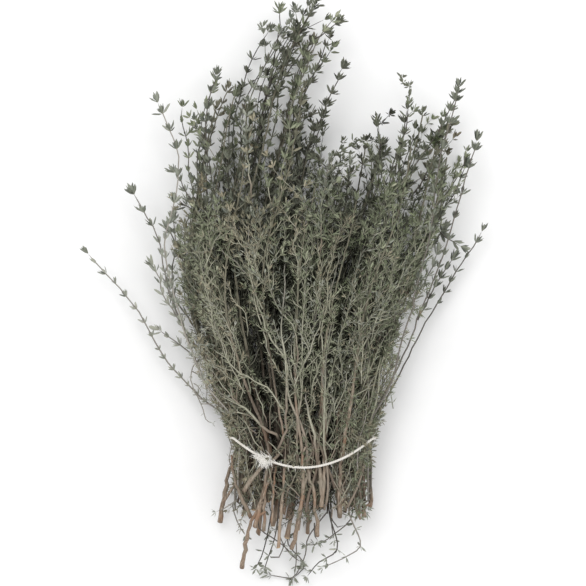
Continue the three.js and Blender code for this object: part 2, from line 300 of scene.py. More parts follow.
def bark_material():
    """Brown bark with long pale streaks, which turns grey-green up the stem, with fine ridges."""
    bark, mix, shader = new_material("thyme_bark", 0.85)
    here = mix.node("ShaderNodeTexCoord", output=3)
    x, y, z = here.split()
    streaks = mix.noise(mix.joined(x * 2200, y * 160, z * 2200), 1.0, 4.0, 0.6)
    patches = mix.noise(here, 90.0, 3.0)
    x, y, z = (x - TIE[0]) / MM, (y - TIE[1]) / MM, z / MM
    brown = streaks.ramp([
        (0.28, colour(70, 58, 47)), (0.45, colour(114, 99, 85)),
        (0.6, colour(156, 142, 127)), (0.75, colour(190, 180, 166)),
    ])
    orange, grey = patches.step(0.54, 0.68), 1 - patches.step(0.34, 0.5)
    brown = brown.mix(colour(136, 96, 70), orange * 0.6)
    brown = brown.mix(colour(126, 122, 110), grey * 0.6)
    brown = brown.mix(colour(176, 152, 130), (1 - y.step(*PALER_END)) * 0.3)
    # Painted highlight on bark at the top of the pile.
    brown = brown.mix(colour(186, 172, 154), z.step(*PAINTED_HIGHLIGHT_HEIGHT) * 0.18)
    green = streaks.ramp([
        (0.3, colour(84, 82, 68)), (0.6, colour(124, 120, 104)), (0.8, colour(160, 156, 138)),
    ])
    young = (y + (patches - 0.5) * YOUNG_WOOD_RAGGED).step(*YOUNG_WOOD)
    # Painted shade: bark darkened inside the pile, and more in the hollow at the left.
    above = z.step(*BARK_SHADE_ABOVE)
    bark_shade = (1 - z.step(*BARK_SHADE_UNDER)) * above * (1 - abs(x).step(*BARK_SHADE_WITHIN))
    bark_shade = bark_shade * y.step(*BARK_SHADE_PAST)
    right = (x - GAP_SHADE_MIDDLE[0]) / GAP_SHADE_HALF_SIZE[0]
    ahead = (y - GAP_SHADE_MIDDLE[1]) / GAP_SHADE_HALF_SIZE[1]
    gap = (1 - (right * right + ahead * ahead).step(*GAP_SHADE_EDGE)) * above
    bark_shade = bark_shade + (1 - bark_shade) * gap * 0.8
    tinted = brown.mix(green, young).mix(colour(34, 27, 21), bark_shade * 0.7)
    mix.feed(shader.inputs["Base Color"], tinted)
    ridges = mix.node("ShaderNodeBump", Strength=0.5, Distance=0.3 * MM, Height=streaks)
    mix.feed(shader.inputs["Normal"], ridges)
    return bark


def cut_wood_material():
    """The pale wood of a cut end, with darker grain."""
    wood, mix, shader = new_material("thyme_cut_wood", 0.9)
    grain = mix.noise(mix.node("ShaderNodeTexCoord", output=3), 1500.0, 3.0)
    mix.feed(shader.inputs["Base Color"], grain.ramp([
        (0.3, colour(150, 118, 88)), (0.55, colour(196, 170, 136)), (0.75, colour(214, 194, 164)),
    ]))
    return wood


BARK = bark_material()
CUT_WOOD = cut_wood_material()


def round_lengths(name, lengths, sides, materials, closed=False):
    """One mesh of round stems or cords, each its points and radii. Ends are closed, or joined in a loop."""
    curve = bpy.data.curves.new(name, "CURVE")
    curve.dimensions = "3D"
    curve.bevel_depth = MM
    curve.bevel_resolution = (sides - 4) // 2
    curve.use_fill_caps = not closed
    for points, radii in lengths:
        spline = curve.splines.new("POLY")
        spline.points.add(len(points) - 1)
        spline.points.foreach_set("co", np.c_[placed(points), np.ones(len(points))].ravel())
        spline.points.foreach_set("radius", radii + np.zeros(len(points)))
        spline.use_cyclic_u = closed
        spline.use_smooth = True
    piece = bpy.data.objects.new(name, curve)
    bpy.context.scene.collection.objects.link(piece)
    bpy.ops.object.select_all(action="DESELECT")
    piece.select_set(True)
    bpy.context.view_layer.objects.active = piece
    bpy.ops.object.convert(target="MESH")
    bpy.ops.object.mode_set(mode="EDIT")
    bpy.ops.mesh.select_all(action="SELECT")
    bpy.ops.mesh.remove_doubles(threshold=1e-8)
    bpy.ops.mesh.normals_make_consistent(inside=False)
    bpy.ops.object.mode_set(mode="OBJECT")
    piece.data.materials.clear()
    for material in materials:
        piece.data.materials.append(material)
    return piece


STEM_SEED = 1000
STEM_SIDES = 8
STEM_STEP = 3.2
STEM_KINKS = 0.16
STEM_SHARE = 0.8
NODE_PITCH = 13
SWELLING = 0.16
RADIUS_UNEVENNESS = 0.06
TIP_SHARE = 0.24
TAPER = 0.55
STUBS = 3
STUB_PLACE = [4, 24]
STUB_LENGTH = [2.5, 6]
STUB_SHARE = [0.5, 0.42, 0.36]
STUB_RISE = [0.5, 1.4]
STEEPEST_CUT = 0.6
# A corner belongs to the cut end when it is this near the end's middle, along the stem and across it. A face
# does when it is this near too, and turned this far along the stem.
NEAR_CUT = [0.4, 2.2]
FACE_NEAR_CUT = 0.6
FACE_TURNED = 0.8


def stem_radii(sprig, y, dice):
    """Thick at the cut end, thin at the tip, and swollen where pairs of leaves grew."""
    grown = np.clip((y - sprig.cut_end) / (sprig.tip - sprig.cut_end), 0, 1)
    thinned = STEM_SHARE * sprig.radius * (1 - (1 - TIP_SHARE) * grown**TAPER)
    swollen = np.cos(2 * math.pi * y / NODE_PITCH + sprig.phase).clip(0, 1) ** 6
    return thinned * (1 + SWELLING * swollen + dice.normal(0, RADIUS_UNEVENNESS, len(y)))


def stub(sprig, dice):
    """The short remains of a side shoot that was broken off the stem's woody foot."""
    y = sprig.cut_end + dice.uniform(*STUB_PLACE)
    foot = stem_line(sprig, np.array([y]))[0]
    turn = dice.uniform(0, 2 * math.pi)
    way = np.array([math.cos(turn), dice.uniform(*STUB_RISE), math.sin(turn)])
    way /= np.linalg.norm(way)
    points = foot + np.array([[0], [0.5], [1]]) * way * dice.uniform(*STUB_LENGTH)
    return points, sprig.radius * np.array(STUB_SHARE)


def cut_slant(piece, sprig, dice):
    """Cuts the stem's end at a slant and gives the cut face its own material."""
    slope = dice.uniform(-STEEPEST_CUT, STEEPEST_CUT, 2)
    foot = placed(stem_line(sprig, np.array([sprig.cut_end])))[0]
    near_along, near_across = (MM * near for near in NEAR_CUT)
    for vertex in piece.data.vertices:
        aside = vertex.co.x - foot[0], vertex.co.z - foot[2]
        if abs(vertex.co.y - foot[1]) < near_along and max(map(abs, aside)) < near_across:
            vertex.co.y += slope[0] * aside[0] + slope[1] * aside[1]
    for face in piece.data.polygons:
        if face.center.y < foot[1] + FACE_NEAR_CUT * MM and abs(face.normal.y) > FACE_TURNED:
            face.material_index = 1


for n, sprig in enumerate(sprigs):
    dice = np.random.default_rng(STEM_SEED + n)
    y = np.arange(sprig.cut_end, sprig.tip, STEM_STEP)
    line = stem_line(sprig, y) + dice.normal(0, STEM_KINKS, (len(y), 3)) * [1, 0, 1]
    stems = [(line, stem_radii(sprig, y, dice))]
    stems += [stub(sprig, dice) for _ in range(STUBS)]
    stem = round_lengths(sprig.name + "_stem", stems, STEM_SIDES, [BARK, CUT_WOOD])
    cut_slant(stem, sprig, dice)
    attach(stem, "root")
    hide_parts(sprig.name)

# ---- Leaves ----
# Small narrow leaves, folded along the midrib and drying grey-green, with paler, felted undersides. Each is a
# thin closed blade. Four forms are modelled once, one unit long from base to tip along +Y, and repeated.

# Leaves and twigs share a map of colour columns: the leaves' three hues, each in its shades, and then the
# twigs' tones. A leaf fills most of its column's width, with its upper side in the map's lower half.
SHADES = 16
HUES = 3
GREY = 2
COLUMNS = 64
TONE_WIDTH = 0.8
SAME_PLACE = 0.01


def leaf_form(name, sides, ring_places, half_widths, thickness, fold, drops):
    """A blade made from a small ball or cone, with its rings of points moved, flattened and folded."""
    bpy.ops.object.select_all(action="DESELECT")
    if len(ring_places) == 2:
        bpy.ops.mesh.primitive_uv_sphere_add(
            segments=sides, ring_count=3, radius=0.5, location=(0, 0.5, 0), rotation=(math.pi / 2, 0, 0))
    else:
        bpy.ops.mesh.primitive_cone_add(
            vertices=sides, radius1=0.5, depth=1, end_fill_type="TRIFAN",
            location=(0, 0.5, 0), rotation=(-math.pi / 2, 0, 0))
    blade = bpy.context.object
    blade.name = name
    bpy.ops.object.transform_apply(location=True, rotation=True, scale=True)
    found = np.array([vertex.co[:] for vertex in blade.data.vertices])
    on_ring = np.hypot(found[:, 0], found[:, 2]) > SAME_PLACE
    middles = np.unique(found[on_ring, 1].round(3))
    bpy.ops.object.mode_set(mode="EDIT")
    bpy.ops.mesh.select_mode(type="VERT")
    for middle, place, half_width, drop in zip(middles, ring_places, half_widths, drops):
        ring = on_ring & (np.abs(found[:, 1] - middle) < SAME_PLACE)
        reach = np.abs(found[ring, 0]).max()
        choose(blade, ring)
        flatten = (half_width / reach, 1, thickness / reach)
        bpy.ops.transform.resize(value=flatten, center_override=(0, middle, 0))
        bpy.ops.transform.translate(value=(0, place - middle, -drop))
        choose(blade, ring & (np.abs(found[:, 0]) < SAME_PLACE))
        bpy.ops.transform.translate(value=(0, 0, -fold * half_width))
    choose(blade, found[:, 1] > 1 - SAME_PLACE)
    bpy.ops.transform.translate(value=(0, 0, -drops[-1]))
    bpy.ops.mesh.select_all(action="SELECT")
    bpy.ops.mesh.quads_convert_to_tris()
    bpy.ops.mesh.normals_make_consistent(inside=False)
    bpy.ops.object.mode_set(mode="OBJECT")
    shape = form_arrays(blade)
    bpy.data.objects.remove(blade)
    return shape


def choose(blade, wanted):
    """Selects some of a blade's vertices, in edit mode."""
    bpy.ops.mesh.select_all(action="DESELECT")
    bpy.ops.object.mode_set(mode="OBJECT")
    blade.data.vertices.foreach_set("select", wanted)
    bpy.ops.object.mode_set(mode="EDIT")


def form_arrays(blade):
    """A form's points, its triangles, and each corner's place in a column: across it, and along one side."""
    points = np.array([vertex.co[:] for vertex in blade.data.vertices])
    triangles = np.array([face.vertices[:] for face in blade.data.polygons])
    under = np.array([face.normal.z < 0 for face in blade.data.polygons])
    corner = points[triangles]
    width = np.abs(points[:, 0]).max()
    across = 0.5 + 0.5 * TONE_WIDTH * corner[:, :, 0] / width
    lengthways = 0.5 * under[:, None] + 0.01 + 0.48 * corner[:, :, 1].clip(0, 1)
    return SimpleNamespace(points=points, triangles=triangles, across=across, lengthways=lengthways)


FORMS = [
    leaf_form("broad_leaf", 4, (0.3, 0.8), (0.5, 0.4), 0.12, 0.35, (0.02, 0.05, 0.12)),
    leaf_form("curled_leaf", 4, (0.3, 0.78), (0.5, 0.42), 0.16, 0.7, (-0.05, -0.02, 0.22)),
    leaf_form("small_leaf", 4, (0.58,), (0.5,), 0.16, 0.5, (-0.04, 0.1)),
    leaf_form("needle_leaf", 3, (0.4,), (0.5,), 0.4, 0.2, (-0.05, 0.12)),
]
BROAD, CURLED, SMALL, NEEDLE = range(4)


def leaf_material():
    """Leaf skin in grey-green, olive and grey. Each hue has its columns, from a dark shade to a dry one."""
    leaf, mix, shader = new_material("thyme_leaf", 0.8, 0.25)
    u, v, _ = mix.node("ShaderNodeUVMap", {"uv_map": "OFBake"}).split()
    column = u * COLUMNS
    hue = column // SHADES
    tone = ((column // 1.0) % SHADES) / (SHADES - 1)
    aside = abs(column % 1.0 - 0.5) * 2
    side = v * 2
    under = side // 1.0
    length = side % 1.0
    speckle = mix.noise(mix.joined(column * 5.0, side * 22.0, 0.0), 1.0, 3.0, 0.6)
    shade = tone + (speckle - 0.5) * 0.3
    green = shade.ramp([
        (0.0, colour(30, 38, 21)), (0.25, colour(65, 78, 49)), (0.5, colour(98, 108, 79)),
        (0.75, colour(140, 147, 119)), (1.0, colour(176, 177, 152)),
    ])
    olive = shade.ramp([
        (0.0, colour(37, 33, 24)), (0.25, colour(81, 75, 57)), (0.5, colour(117, 108, 87)),
        (0.75, colour(151, 141, 119)), (1.0, colour(175, 163, 140)),
    ])
    grey = shade.ramp([
        (0.0, colour(29, 34, 29)), (0.25, colour(66, 73, 66)), (0.5, colour(100, 106, 98)),
        (0.75, colour(142, 146, 138)), (1.0, colour(180, 180, 170)),
    ])
    skin = green.mix(olive, hue.step(0.4, 0.6)).mix(grey, hue.step(1.4, 1.6))
    skin = skin.mix(colour(160, 162, 138), (1 - aside.step(0.05, 0.35)) * 0.3)
    skin = skin.mix(colour(156, 150, 120), (1 - length.step(0.0, 0.25)) * 0.3)
    skin = skin.mix(colour(158, 160, 142), under * 0.3)
    mix.feed(shader.inputs["Base Color"], skin)
    return leaf


LEAF = leaf_material()

# ---- Shoots ----
# Thin grey-green side shoots, which leave the woody stem at an angle and run up beside it, with short twigs.
# Pairs of leaves grow every few millimetres, with tufts at the tips. They part over dark hollows in the pile.

# Twigs have eight tones on the map, and then eight more for shoots with a brown foot. Streaks of bark spread
# about each tone's place on the colour ramp.
TWIG_TONES = 8
TONE_SPAN = 0.85
STREAK_SPAN = 0.5
STREAK_MIDDLE = 0.18


def twig_bark(mix):
    """How light a twig's bark is, whether it is a woody one, and how far up it is."""
    u, v, _ = mix.node("ShaderNodeUVMap", {"uv_map": "OFBake"}).split()
    column = u * COLUMNS
    kind = column // 1.0 - HUES * SHADES
    tone = (kind % TWIG_TONES) / (TWIG_TONES - 1)
    streak = mix.noise(mix.joined(column * 3.0, v * 40.0, 0.0), 1.0, 3.0, 0.6)
    return tone * TONE_SPAN + streak * STREAK_SPAN - STREAK_MIDDLE, kind // TWIG_TONES, v


def twig_material():
    """Thin bark, pale grey-green, and greyer at the tip. A woody shoot is brown at its foot."""
    twig, mix, shader = new_material("thyme_twig", 0.8)
    lightness, woody, up = twig_bark(mix)
    green = lightness.ramp([
        (0.0, colour(32, 32, 24)), (0.3, colour(84, 85, 70)),
        (0.6, colour(132, 132, 114)), (1.0, colour(176, 174, 156)),
    ])
    grey = lightness.ramp([
        (0.0, colour(44, 42, 36)), (0.5, colour(92, 88, 80)), (1.0, colour(140, 136, 126)),
    ])
    brown = lightness.ramp([
        (0.0, colour(42, 34, 27)), (0.4, colour(88, 74, 63)), (1.0, colour(154, 142, 128)),
    ])
    young, foot = up.step(0.55, 0.85), 1 - up.step(0.18, 0.45)
    mix.feed(shader.inputs["Base Color"], green.mix(grey, young).mix(brown, woody * foot))
    return twig


def dry_twig_material():
    """The grey-brown bark of twigs that dried by themselves, outside the bundle."""
    twig, mix, shader = new_material("thyme_dry_twig", 0.85)
    lightness, _, _ = twig_bark(mix)
    mix.feed(shader.inputs["Base Color"], lightness.ramp([
        (0.0, colour(52, 48, 44)), (0.4, colour(96, 91, 85)),
        (0.7, colour(128, 123, 116)), (1.0, colour(164, 159, 150)),
    ]))
    return twig


TWIG = twig_material()
DRY_TWIG = dry_twig_material()


def unit(ways):
    """Directions, drawn to a length of one."""
    return ways / np.linalg.norm(ways, axis=-1, keepdims=True)


# No shoot points quite along these, so they serve to measure turns about a shoot from: for its own corners,
# and for what grows on it.
ROD_SIDE = [0.05, 0.1, 1]
GROWTH_SIDE = [0.13, 0.21, 0.97]


def rod_parts(points, radii, sides, column):
    """A closed rod through points, drawn to a point at its tip: its corners, its triangles and its map."""
    way = unit(np.gradient(points, axis=0))
    right = unit(np.cross(way, ROD_SIDE))
    over = np.cross(right, way)
    turn = 2 * math.pi * np.arange(sides) / sides
    rings = np.cos(turn)[:, None] * right[:, None] + np.sin(turn)[:, None] * over[:, None]
    rings = points[:, None] + radii[:, None, None] * rings
    last = len(points) - 1
    corners = np.vstack([rings[:-1].reshape(-1, 3), points[-1:]])
    k, s = (a.ravel() for a in np.meshgrid(np.arange(last - 1), np.arange(sides), indexing="ij"))
    here, beside = k * sides + s, k * sides + (s + 1) % sides
    s = np.arange(sides)
    top = (last - 1) * sides
    triangles = np.vstack([
        np.stack([here, here + sides, beside + sides], 1),
        np.stack([here, beside + sides, beside], 1),
        np.stack([top + s, np.full(sides, last * sides), top + (s + 1) % sides], 1),
        np.stack([np.zeros(sides - 2, int), s[1:-1], s[2:]], 1),
    ])
    turned = triangles % sides
    turned = np.where(turned.max(1, keepdims=True) - turned > sides / 2, turned + sides, turned)
    u = (column + 0.5 + 0.35 * np.sin(2 * math.pi * (turned + 0.25) / sides)) / COLUMNS
    v = 0.02 + 0.95 * (triangles // sides) / last + 0.01 * (turned % 2)
    return corners, triangles, np.stack([u, v], -1).reshape(-1, 2)


def across_at(x, y):
    """A point's place across the bundle, from -1 at its left edge to 1 at its right edge."""
    left, right = along(LEFT_EDGE, y), along(RIGHT_EDGE, y)
    return (2 * x - left - right) / (right - left)


SHOOTS_OVER_PILE = 4


def outerness(points):
    """How near points are to the bundle's outside: 0 in its middle, and 1 at its sides, top and bottom."""
    x, y, z = points.T
    across = across_at(x, y)
    height = (along(PILE_HEIGHT, y) + SHOOTS_OVER_PILE) * (1 - EDGE_FALL * np.minimum(across**2, 1))
    return np.clip((across**4 + (2 * z / height - 1) ** 4) ** 0.25, 0, 1)


# The pile has dark hollows in its top, where shoots dip, few twigs grow, and painted shade darkens
# what lies deep in them. Each is [x, distance from the tie, half width, half length, lean to the right for
# each millimetre along the bundle].
HOLLOWS = [
    [-21, 50, 7.5, 25, -0.45], [-36, 86, 5, 24, -0.35], [-9, 94, 3, 10, -0.25], [22, 98, 9, 10, 0.7],
    [-14, 74, 3, 12, -0.5], [9, 62, 2, 7, 0.2], [-22, 21, 7, 20, -0.3], [26, 22, 5, 14, 0.3],
    [18, 68, 2.5, 9, 0.35], [-28, 146, 4, 14, 0.1], [50, 122, 4, 14, 0.4], [-50, 62, 4, 14, -0.6],
    [1, 26, 3, 14, 0.1], [41, 58, 3, 12, 0.5], [31, 142, 4, 12, 0.2], [30, 126, 5, 8, 0.3],
    [29, 14, 5, 16, 0.2],
]
HOLLOW_SHADE = 0.6
FULL_SHADE_DEPTH = 6
# Light also gets in at the bundle's open ends. [distance from the tie, share of the dark]
OPEN_ENDS = [[-60, 0], [-46, 0], [-24, 1], [180, 1], [240, 0.6]]


def hollowness(points, hollow):
    """How far points are inside one hollow, which has a ragged edge: 1 at its middle line, and 0 outside."""
    x, middle, half_width, half_length, lean = hollow
    y = points[:, 1]
    ragged = 1 + 0.5 * np.sin(0.7 * y + x) * np.sin(0.31 * y + 2 * x)
    off = (points[:, 0] - x - lean * (y - middle)) / (half_width * ragged)
    return np.sign(off), np.clip(1 - off**2 - ((y - middle) / half_length) ** 2, 0, 1)


def top_of_pile(points):
    """The height of the pile's top layer under or over points."""
    x, y, _ = points.T
    return lie(np.clip(across_at(x, y), -1, 1), 1, y)[:, 2]


def painted_shade_of(points):
    """Painted shade for how deep points lie: 0 outside the bundle, more to its middle and down in a hollow.
    """
    _, y, z = points.T
    in_hollow = np.max([hollowness(points, hollow)[1] for hollow in HOLLOWS], axis=0)
    sunk = np.clip((top_of_pile(points) - z) / FULL_SHADE_DEPTH, 0, 1)
    inner = (1 - outerness(points)) * np.interp(y, *np.transpose(OPEN_ENDS))
    return inner + HOLLOW_SHADE * sunk * in_hollow


# Painted highlight: twigs palest at the pile's very top, mostly near the tie. [distance from the tie, share]
PAINTED_TOP_LIGHT = [[-60, 0.6], [-30, 1], [40, 1], [110, 0.2], [240, 0]]
PAINTED_TOP_LIGHT_DEPTH = 5
PAINTED_TOP_LIGHT_ON_TWIGS = 0.2
PAINTED_TOP_LIGHT_ON_LEAVES = 0.1


def painted_top_light(points):
    """How much painted highlight points get: how near they are to the very top of the pile."""
    above = points[:, 2] - top_of_pile(points) + PAINTED_TOP_LIGHT_DEPTH
    return np.clip(above / PAINTED_TOP_LIGHT_DEPTH, 0, 1) * np.interp(points[:, 1], *np.transpose(PAINTED_TOP_LIGHT))


# The left side above the tie is paler and the right lobe is darker, each round a distance from the tie.
# [change of tone, x where it starts, width over which it grows, middle distance, half length]
PALE_LEFT = [0.2, 20, 25, 42, 58]
DARK_RIGHT = [0.14, 8, 20, 115, 52]
PATCH_TONE = 0.07


def side_tone(side, x, y):
    """The change of tone at one side, with x growing outwards."""
    change, start, width, middle, half_length = side
    return change * np.clip((x - start) / width, 0, 1) * np.exp(-((y - middle) / half_length) ** 2)


def patchiness(points):
    """The bundle has paler and darker patches, a few centimetres long."""
    x, y, _ = points.T
    narrow = np.sin(x / 5.3 + y / 31 + 1) * np.sin(y / 13 + 2)
    wide = np.sin(x / 9.1 - y / 47 + 2.2) * np.sin(y / 22)
    return side_tone(PALE_LEFT, -x, y) - side_tone(DARK_RIGHT, x, y) + PATCH_TONE * (narrow + wide)


# The share of green shoots, which grows to the right and away from the tie, and the share of grey ones among
# the rest. The others are olive brown.
GREEN_SHARE = 0.52
GREEN_WIDTH = 110
GREEN_LIMITS = [0.35, 0.85]
GREEN_UP = [[-40, 0.3], [90, 1]]
GREY_UP = [[20, 0.12], [100, 0.5], [150, 0.8]]
# Everything stays this far above the surface.
LOWEST = 0.1
# A shoot's tone outside the bundle, its painted shade inside, and how uneven whole sprigs and shoots are.
ROD_TONE = 0.64
ROD_PAINTED_DEPTH_SHADE = 1.8
ROD_TONE_UNEVENNESS = 0.1
SPRIG_UNEVENNESS = 0.06
SHOOT_UNEVENNESS = 0.09


class Foliage:
    """The shoots and leaves of one piece as they grow: its rods, and its leaves in groups of like arrays."""

    def __init__(self, seed, dryness=0.0, fullness=0, hue=0, bark=TWIG):
        self.dice = np.random.default_rng(seed)
        self.bark = bark
        self.fullness = fullness
        self.dryness = dryness + self.dice.normal(0, SPRIG_UNEVENNESS)
        self.hue = hue
        self.shade = 0
        self.rods = []
        self.leaves = []

    def new_shoot(self, place=(0, 100, 0)):
        """Picks how pale the next shoot is, and its hue: mostly green at the right, brown near the tie."""
        x, y = place[:2]
        green = np.clip(GREEN_SHARE + x / GREEN_WIDTH, *GREEN_LIMITS) * np.interp(y, *np.transpose(GREEN_UP))
        grey = np.interp(y, *np.transpose(GREY_UP)) * (1 - green)
        self.hue = int(self.dice.choice(HUES, p=[green, 1 - green - grey, grey]))
        self.shade = self.dice.normal(0, SHOOT_UNEVENNESS)

    def add_rod(self, points, radii, sides, paleness=0.0, woody=False):
        """A thin round shoot, in painted shade the deeper it lies. Its two radii are those of foot and tip.
        """
        depth = float(painted_shade_of(points).mean())
        # A painted highlight near the top of the pile, with the bundle's paler and darker patches.
        patch_and_highlight = float((patchiness(points) + PAINTED_TOP_LIGHT_ON_TWIGS * painted_top_light(points)).mean())
        tone = ROD_TONE - ROD_PAINTED_DEPTH_SHADE * depth + paleness + patch_and_highlight + self.shade
        tone = tone + self.dice.normal(0, ROD_TONE_UNEVENNESS)
        column = HUES * SHADES + int(np.clip(tone, 0, 0.999) * TWIG_TONES) + (TWIG_TONES if woody else 0)
        points = points.copy()
        points[:, 2] = np.maximum(points[:, 2], LOWEST + max(radii))
        if len(radii) == 2:
            radii = np.linspace(*radii, len(points))
        self.rods.append((points, radii, sides, column))

    def leaf_parts(self):
        """Each form's points, triangles and map for all its leaves together."""
        base, way, face, aside, length, width, tone, form = map(np.concatenate, zip(*self.leaves))
        for k, shape in enumerate(FORMS):
            mine = form == k
            x, y, z = shape.points.T
            points = base[mine, None] + x[:, None] * (aside * width[:, None])[mine, None]
            points = points + y[:, None] * (way * length[:, None])[mine, None]
            points = points + z[:, None] * (face * width[:, None])[mine, None]
            points[..., 2] += np.maximum(0, LOWEST - points[..., 2].min(1, keepdims=True))
            first = np.arange(mine.sum())[:, None, None] * len(shape.points)
            u = (tone[mine, None, None] + shape.across) / COLUMNS
            v = np.broadcast_to(shape.lengthways, u.shape)
            triangles = (shape.triangles + first).reshape(-1, 3)
            yield points.reshape(-1, 3), triangles, np.stack([u, v], -1).reshape(-1, 2)

    def finish(self, name, replaced=None):
        """Makes one piece of all that has grown, with bark on its rods and leaf skin on its leaves."""
        parts = [(*rod_parts(*rod), 0) for rod in self.rods] + [(*part, 1) for part in self.leaf_parts()]
        first = np.cumsum([0] + [len(part[0]) for part in parts])
        points = placed(np.concatenate([part[0] for part in parts]))
        triangles = np.concatenate([part[1] + start for part, start in zip(parts, first)])
        on_map = np.concatenate([part[2] for part in parts])
        material = np.concatenate([np.full(len(part[1]), part[3]) for part in parts])
        mesh = bpy.data.meshes.new(name)
        mesh.vertices.add(len(points))
        mesh.vertices.foreach_set("co", points.ravel())
        mesh.loops.add(triangles.size)
        mesh.loops.foreach_set("vertex_index", triangles.ravel())
        mesh.polygons.add(len(triangles))
        mesh.polygons.foreach_set("loop_start", np.arange(0, triangles.size, 3))
        mesh.polygons.foreach_set("material_index", material)
        mesh.polygons.foreach_set("use_smooth", material == 0)
        mesh.uv_layers.new(name="OFBake").uv.foreach_set("vector", on_map.astype(np.float32).ravel())
        mesh.materials.append(self.bark)
        mesh.materials.append(LEAF)
        mesh.update(calc_edges=True)
        piece = bpy.data.objects.new(name, mesh)
        bpy.context.scene.collection.objects.link(piece)
        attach(piece, "root")
        if replaced:
            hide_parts(replaced)


# Leaves are short needles near the tie, and broader and in fuller whorls up the sprig, by distance from the
# tie. OPENING is the angle between a leaf and its shoot.
LEAF_LENGTH = [[-60, 3.3], [0, 2.9], [60, 3.3], [100, 3.7], [140, 4.4], [240, 4.8]]
NEEDLE_SHARE = [[-60, 0.6], [0, 0.97], [90, 0.97], [125, 0.8], [160, 0.15], [240, 0.05]]
LEAF_TONE = [[-60, 0.62], [0, 0.57], [50, 0.67], [100, 0.62], [150, 0.49], [240, 0.5]]
NODE_GAP = [[-60, 5], [0, 3.8], [60, 3.9], [100, 4.6], [140, 7], [240, 8.4]]
CROWD = [[-60, 3], [0, 2.5], [60, 2.2], [100, 2.8], [140, 6.5], [240, 8]]
OPENING = [[-60, 56], [0, 50], [60, 42], [100, 28], [145, 40], [240, 43]]
# How much painted shade darkens leaves inside the bundle, and how uneven their tones are.
PAINTED_DEPTH_SHADE = 1.3
LEAF_UNEVENNESS = 0.14
# Widths are shares of a leaf's length.
NEEDLE_WIDTH = [0.11, 0.16]
BLADE_WIDTH = [0.25, 0.34]
CURLED_SHARE = 0.45
# The last whorl below the tip ends this far from it, and the tuft stands this far down and is less open.
WHORL_FROM_TIP = 1.5
TUFT_FROM_TIP = 0.4
TUFT_OPENING = 0.7
GAP_RANGE = [0.75, 1.25]
TURN_UNEVENNESS = 0.2
CROWD_UNEVENNESS = 1.2
CROWD_LIMITS = [1, 12]
# The smaller leaves in the axils open in all ways, and are shorter than the pair.
PAIR_OPENING = 1.1
SMALL_OPENING = [0.2, 1.25]
SMALL_LENGTH = [0.7, 1.08]
LENGTH_RANGE = [0.8, 1.2]
TILT_UNEVENNESS = 8
FACE_UNEVENNESS = 0.25
LEAF_OFF_SHOOT = 0.2
# Full whorls have fewer needles. Painted shade on leaves grows with depth, at first quickly.
FEWER_NEEDLES = 0.2
DEPTH_POWER = 0.7


def grow_leaves(foliage, points, start, size=1.0, tuft=8, opening=1.0, gap=1.0, tone=0.0):
    """Whorls of leaves up a line of points, with a tuft at its tip. Gives each node's point, way and turn."""
    dice = foliage.dice
    reach = np.concatenate([[0], np.cumsum(np.linalg.norm(np.diff(points, axis=0), axis=1))])
    gaps = gap * along(NODE_GAP, points[:, 1])
    places = []
    place = start + gaps[0] * dice.random()
    while place < reach[-1] - WHORL_FROM_TIP:
        places.append(place)
        place += np.interp(place, reach, gaps) * dice.uniform(*GAP_RANGE)
    places.append(reach[-1] - TUFT_FROM_TIP)
    nodes = np.stack([np.interp(places, reach, points[:, axis]) for axis in range(3)], 1)
    slope = np.gradient(points, axis=0)
    ways = unit(np.stack([np.interp(places, reach, slope[:, axis]) for axis in range(3)], 1))
    turns = dice.uniform(0, 2 * math.pi) + math.pi / 2 * np.arange(len(places))
    turns = turns + dice.normal(0, TURN_UNEVENNESS, len(places))
    crowd = dice.normal(along(CROWD, nodes[:, 1]) + foliage.fullness, CROWD_UNEVENNESS)
    crowd = crowd.clip(*CROWD_LIMITS).astype(int)
    crowd[-1] = tuft
    open_up = np.full(len(places), opening)
    open_up[-1] = TUFT_OPENING * opening
    grow_whorls(foliage, nodes, ways, turns, crowd, open_up, size, tone)
    return nodes, ways, turns


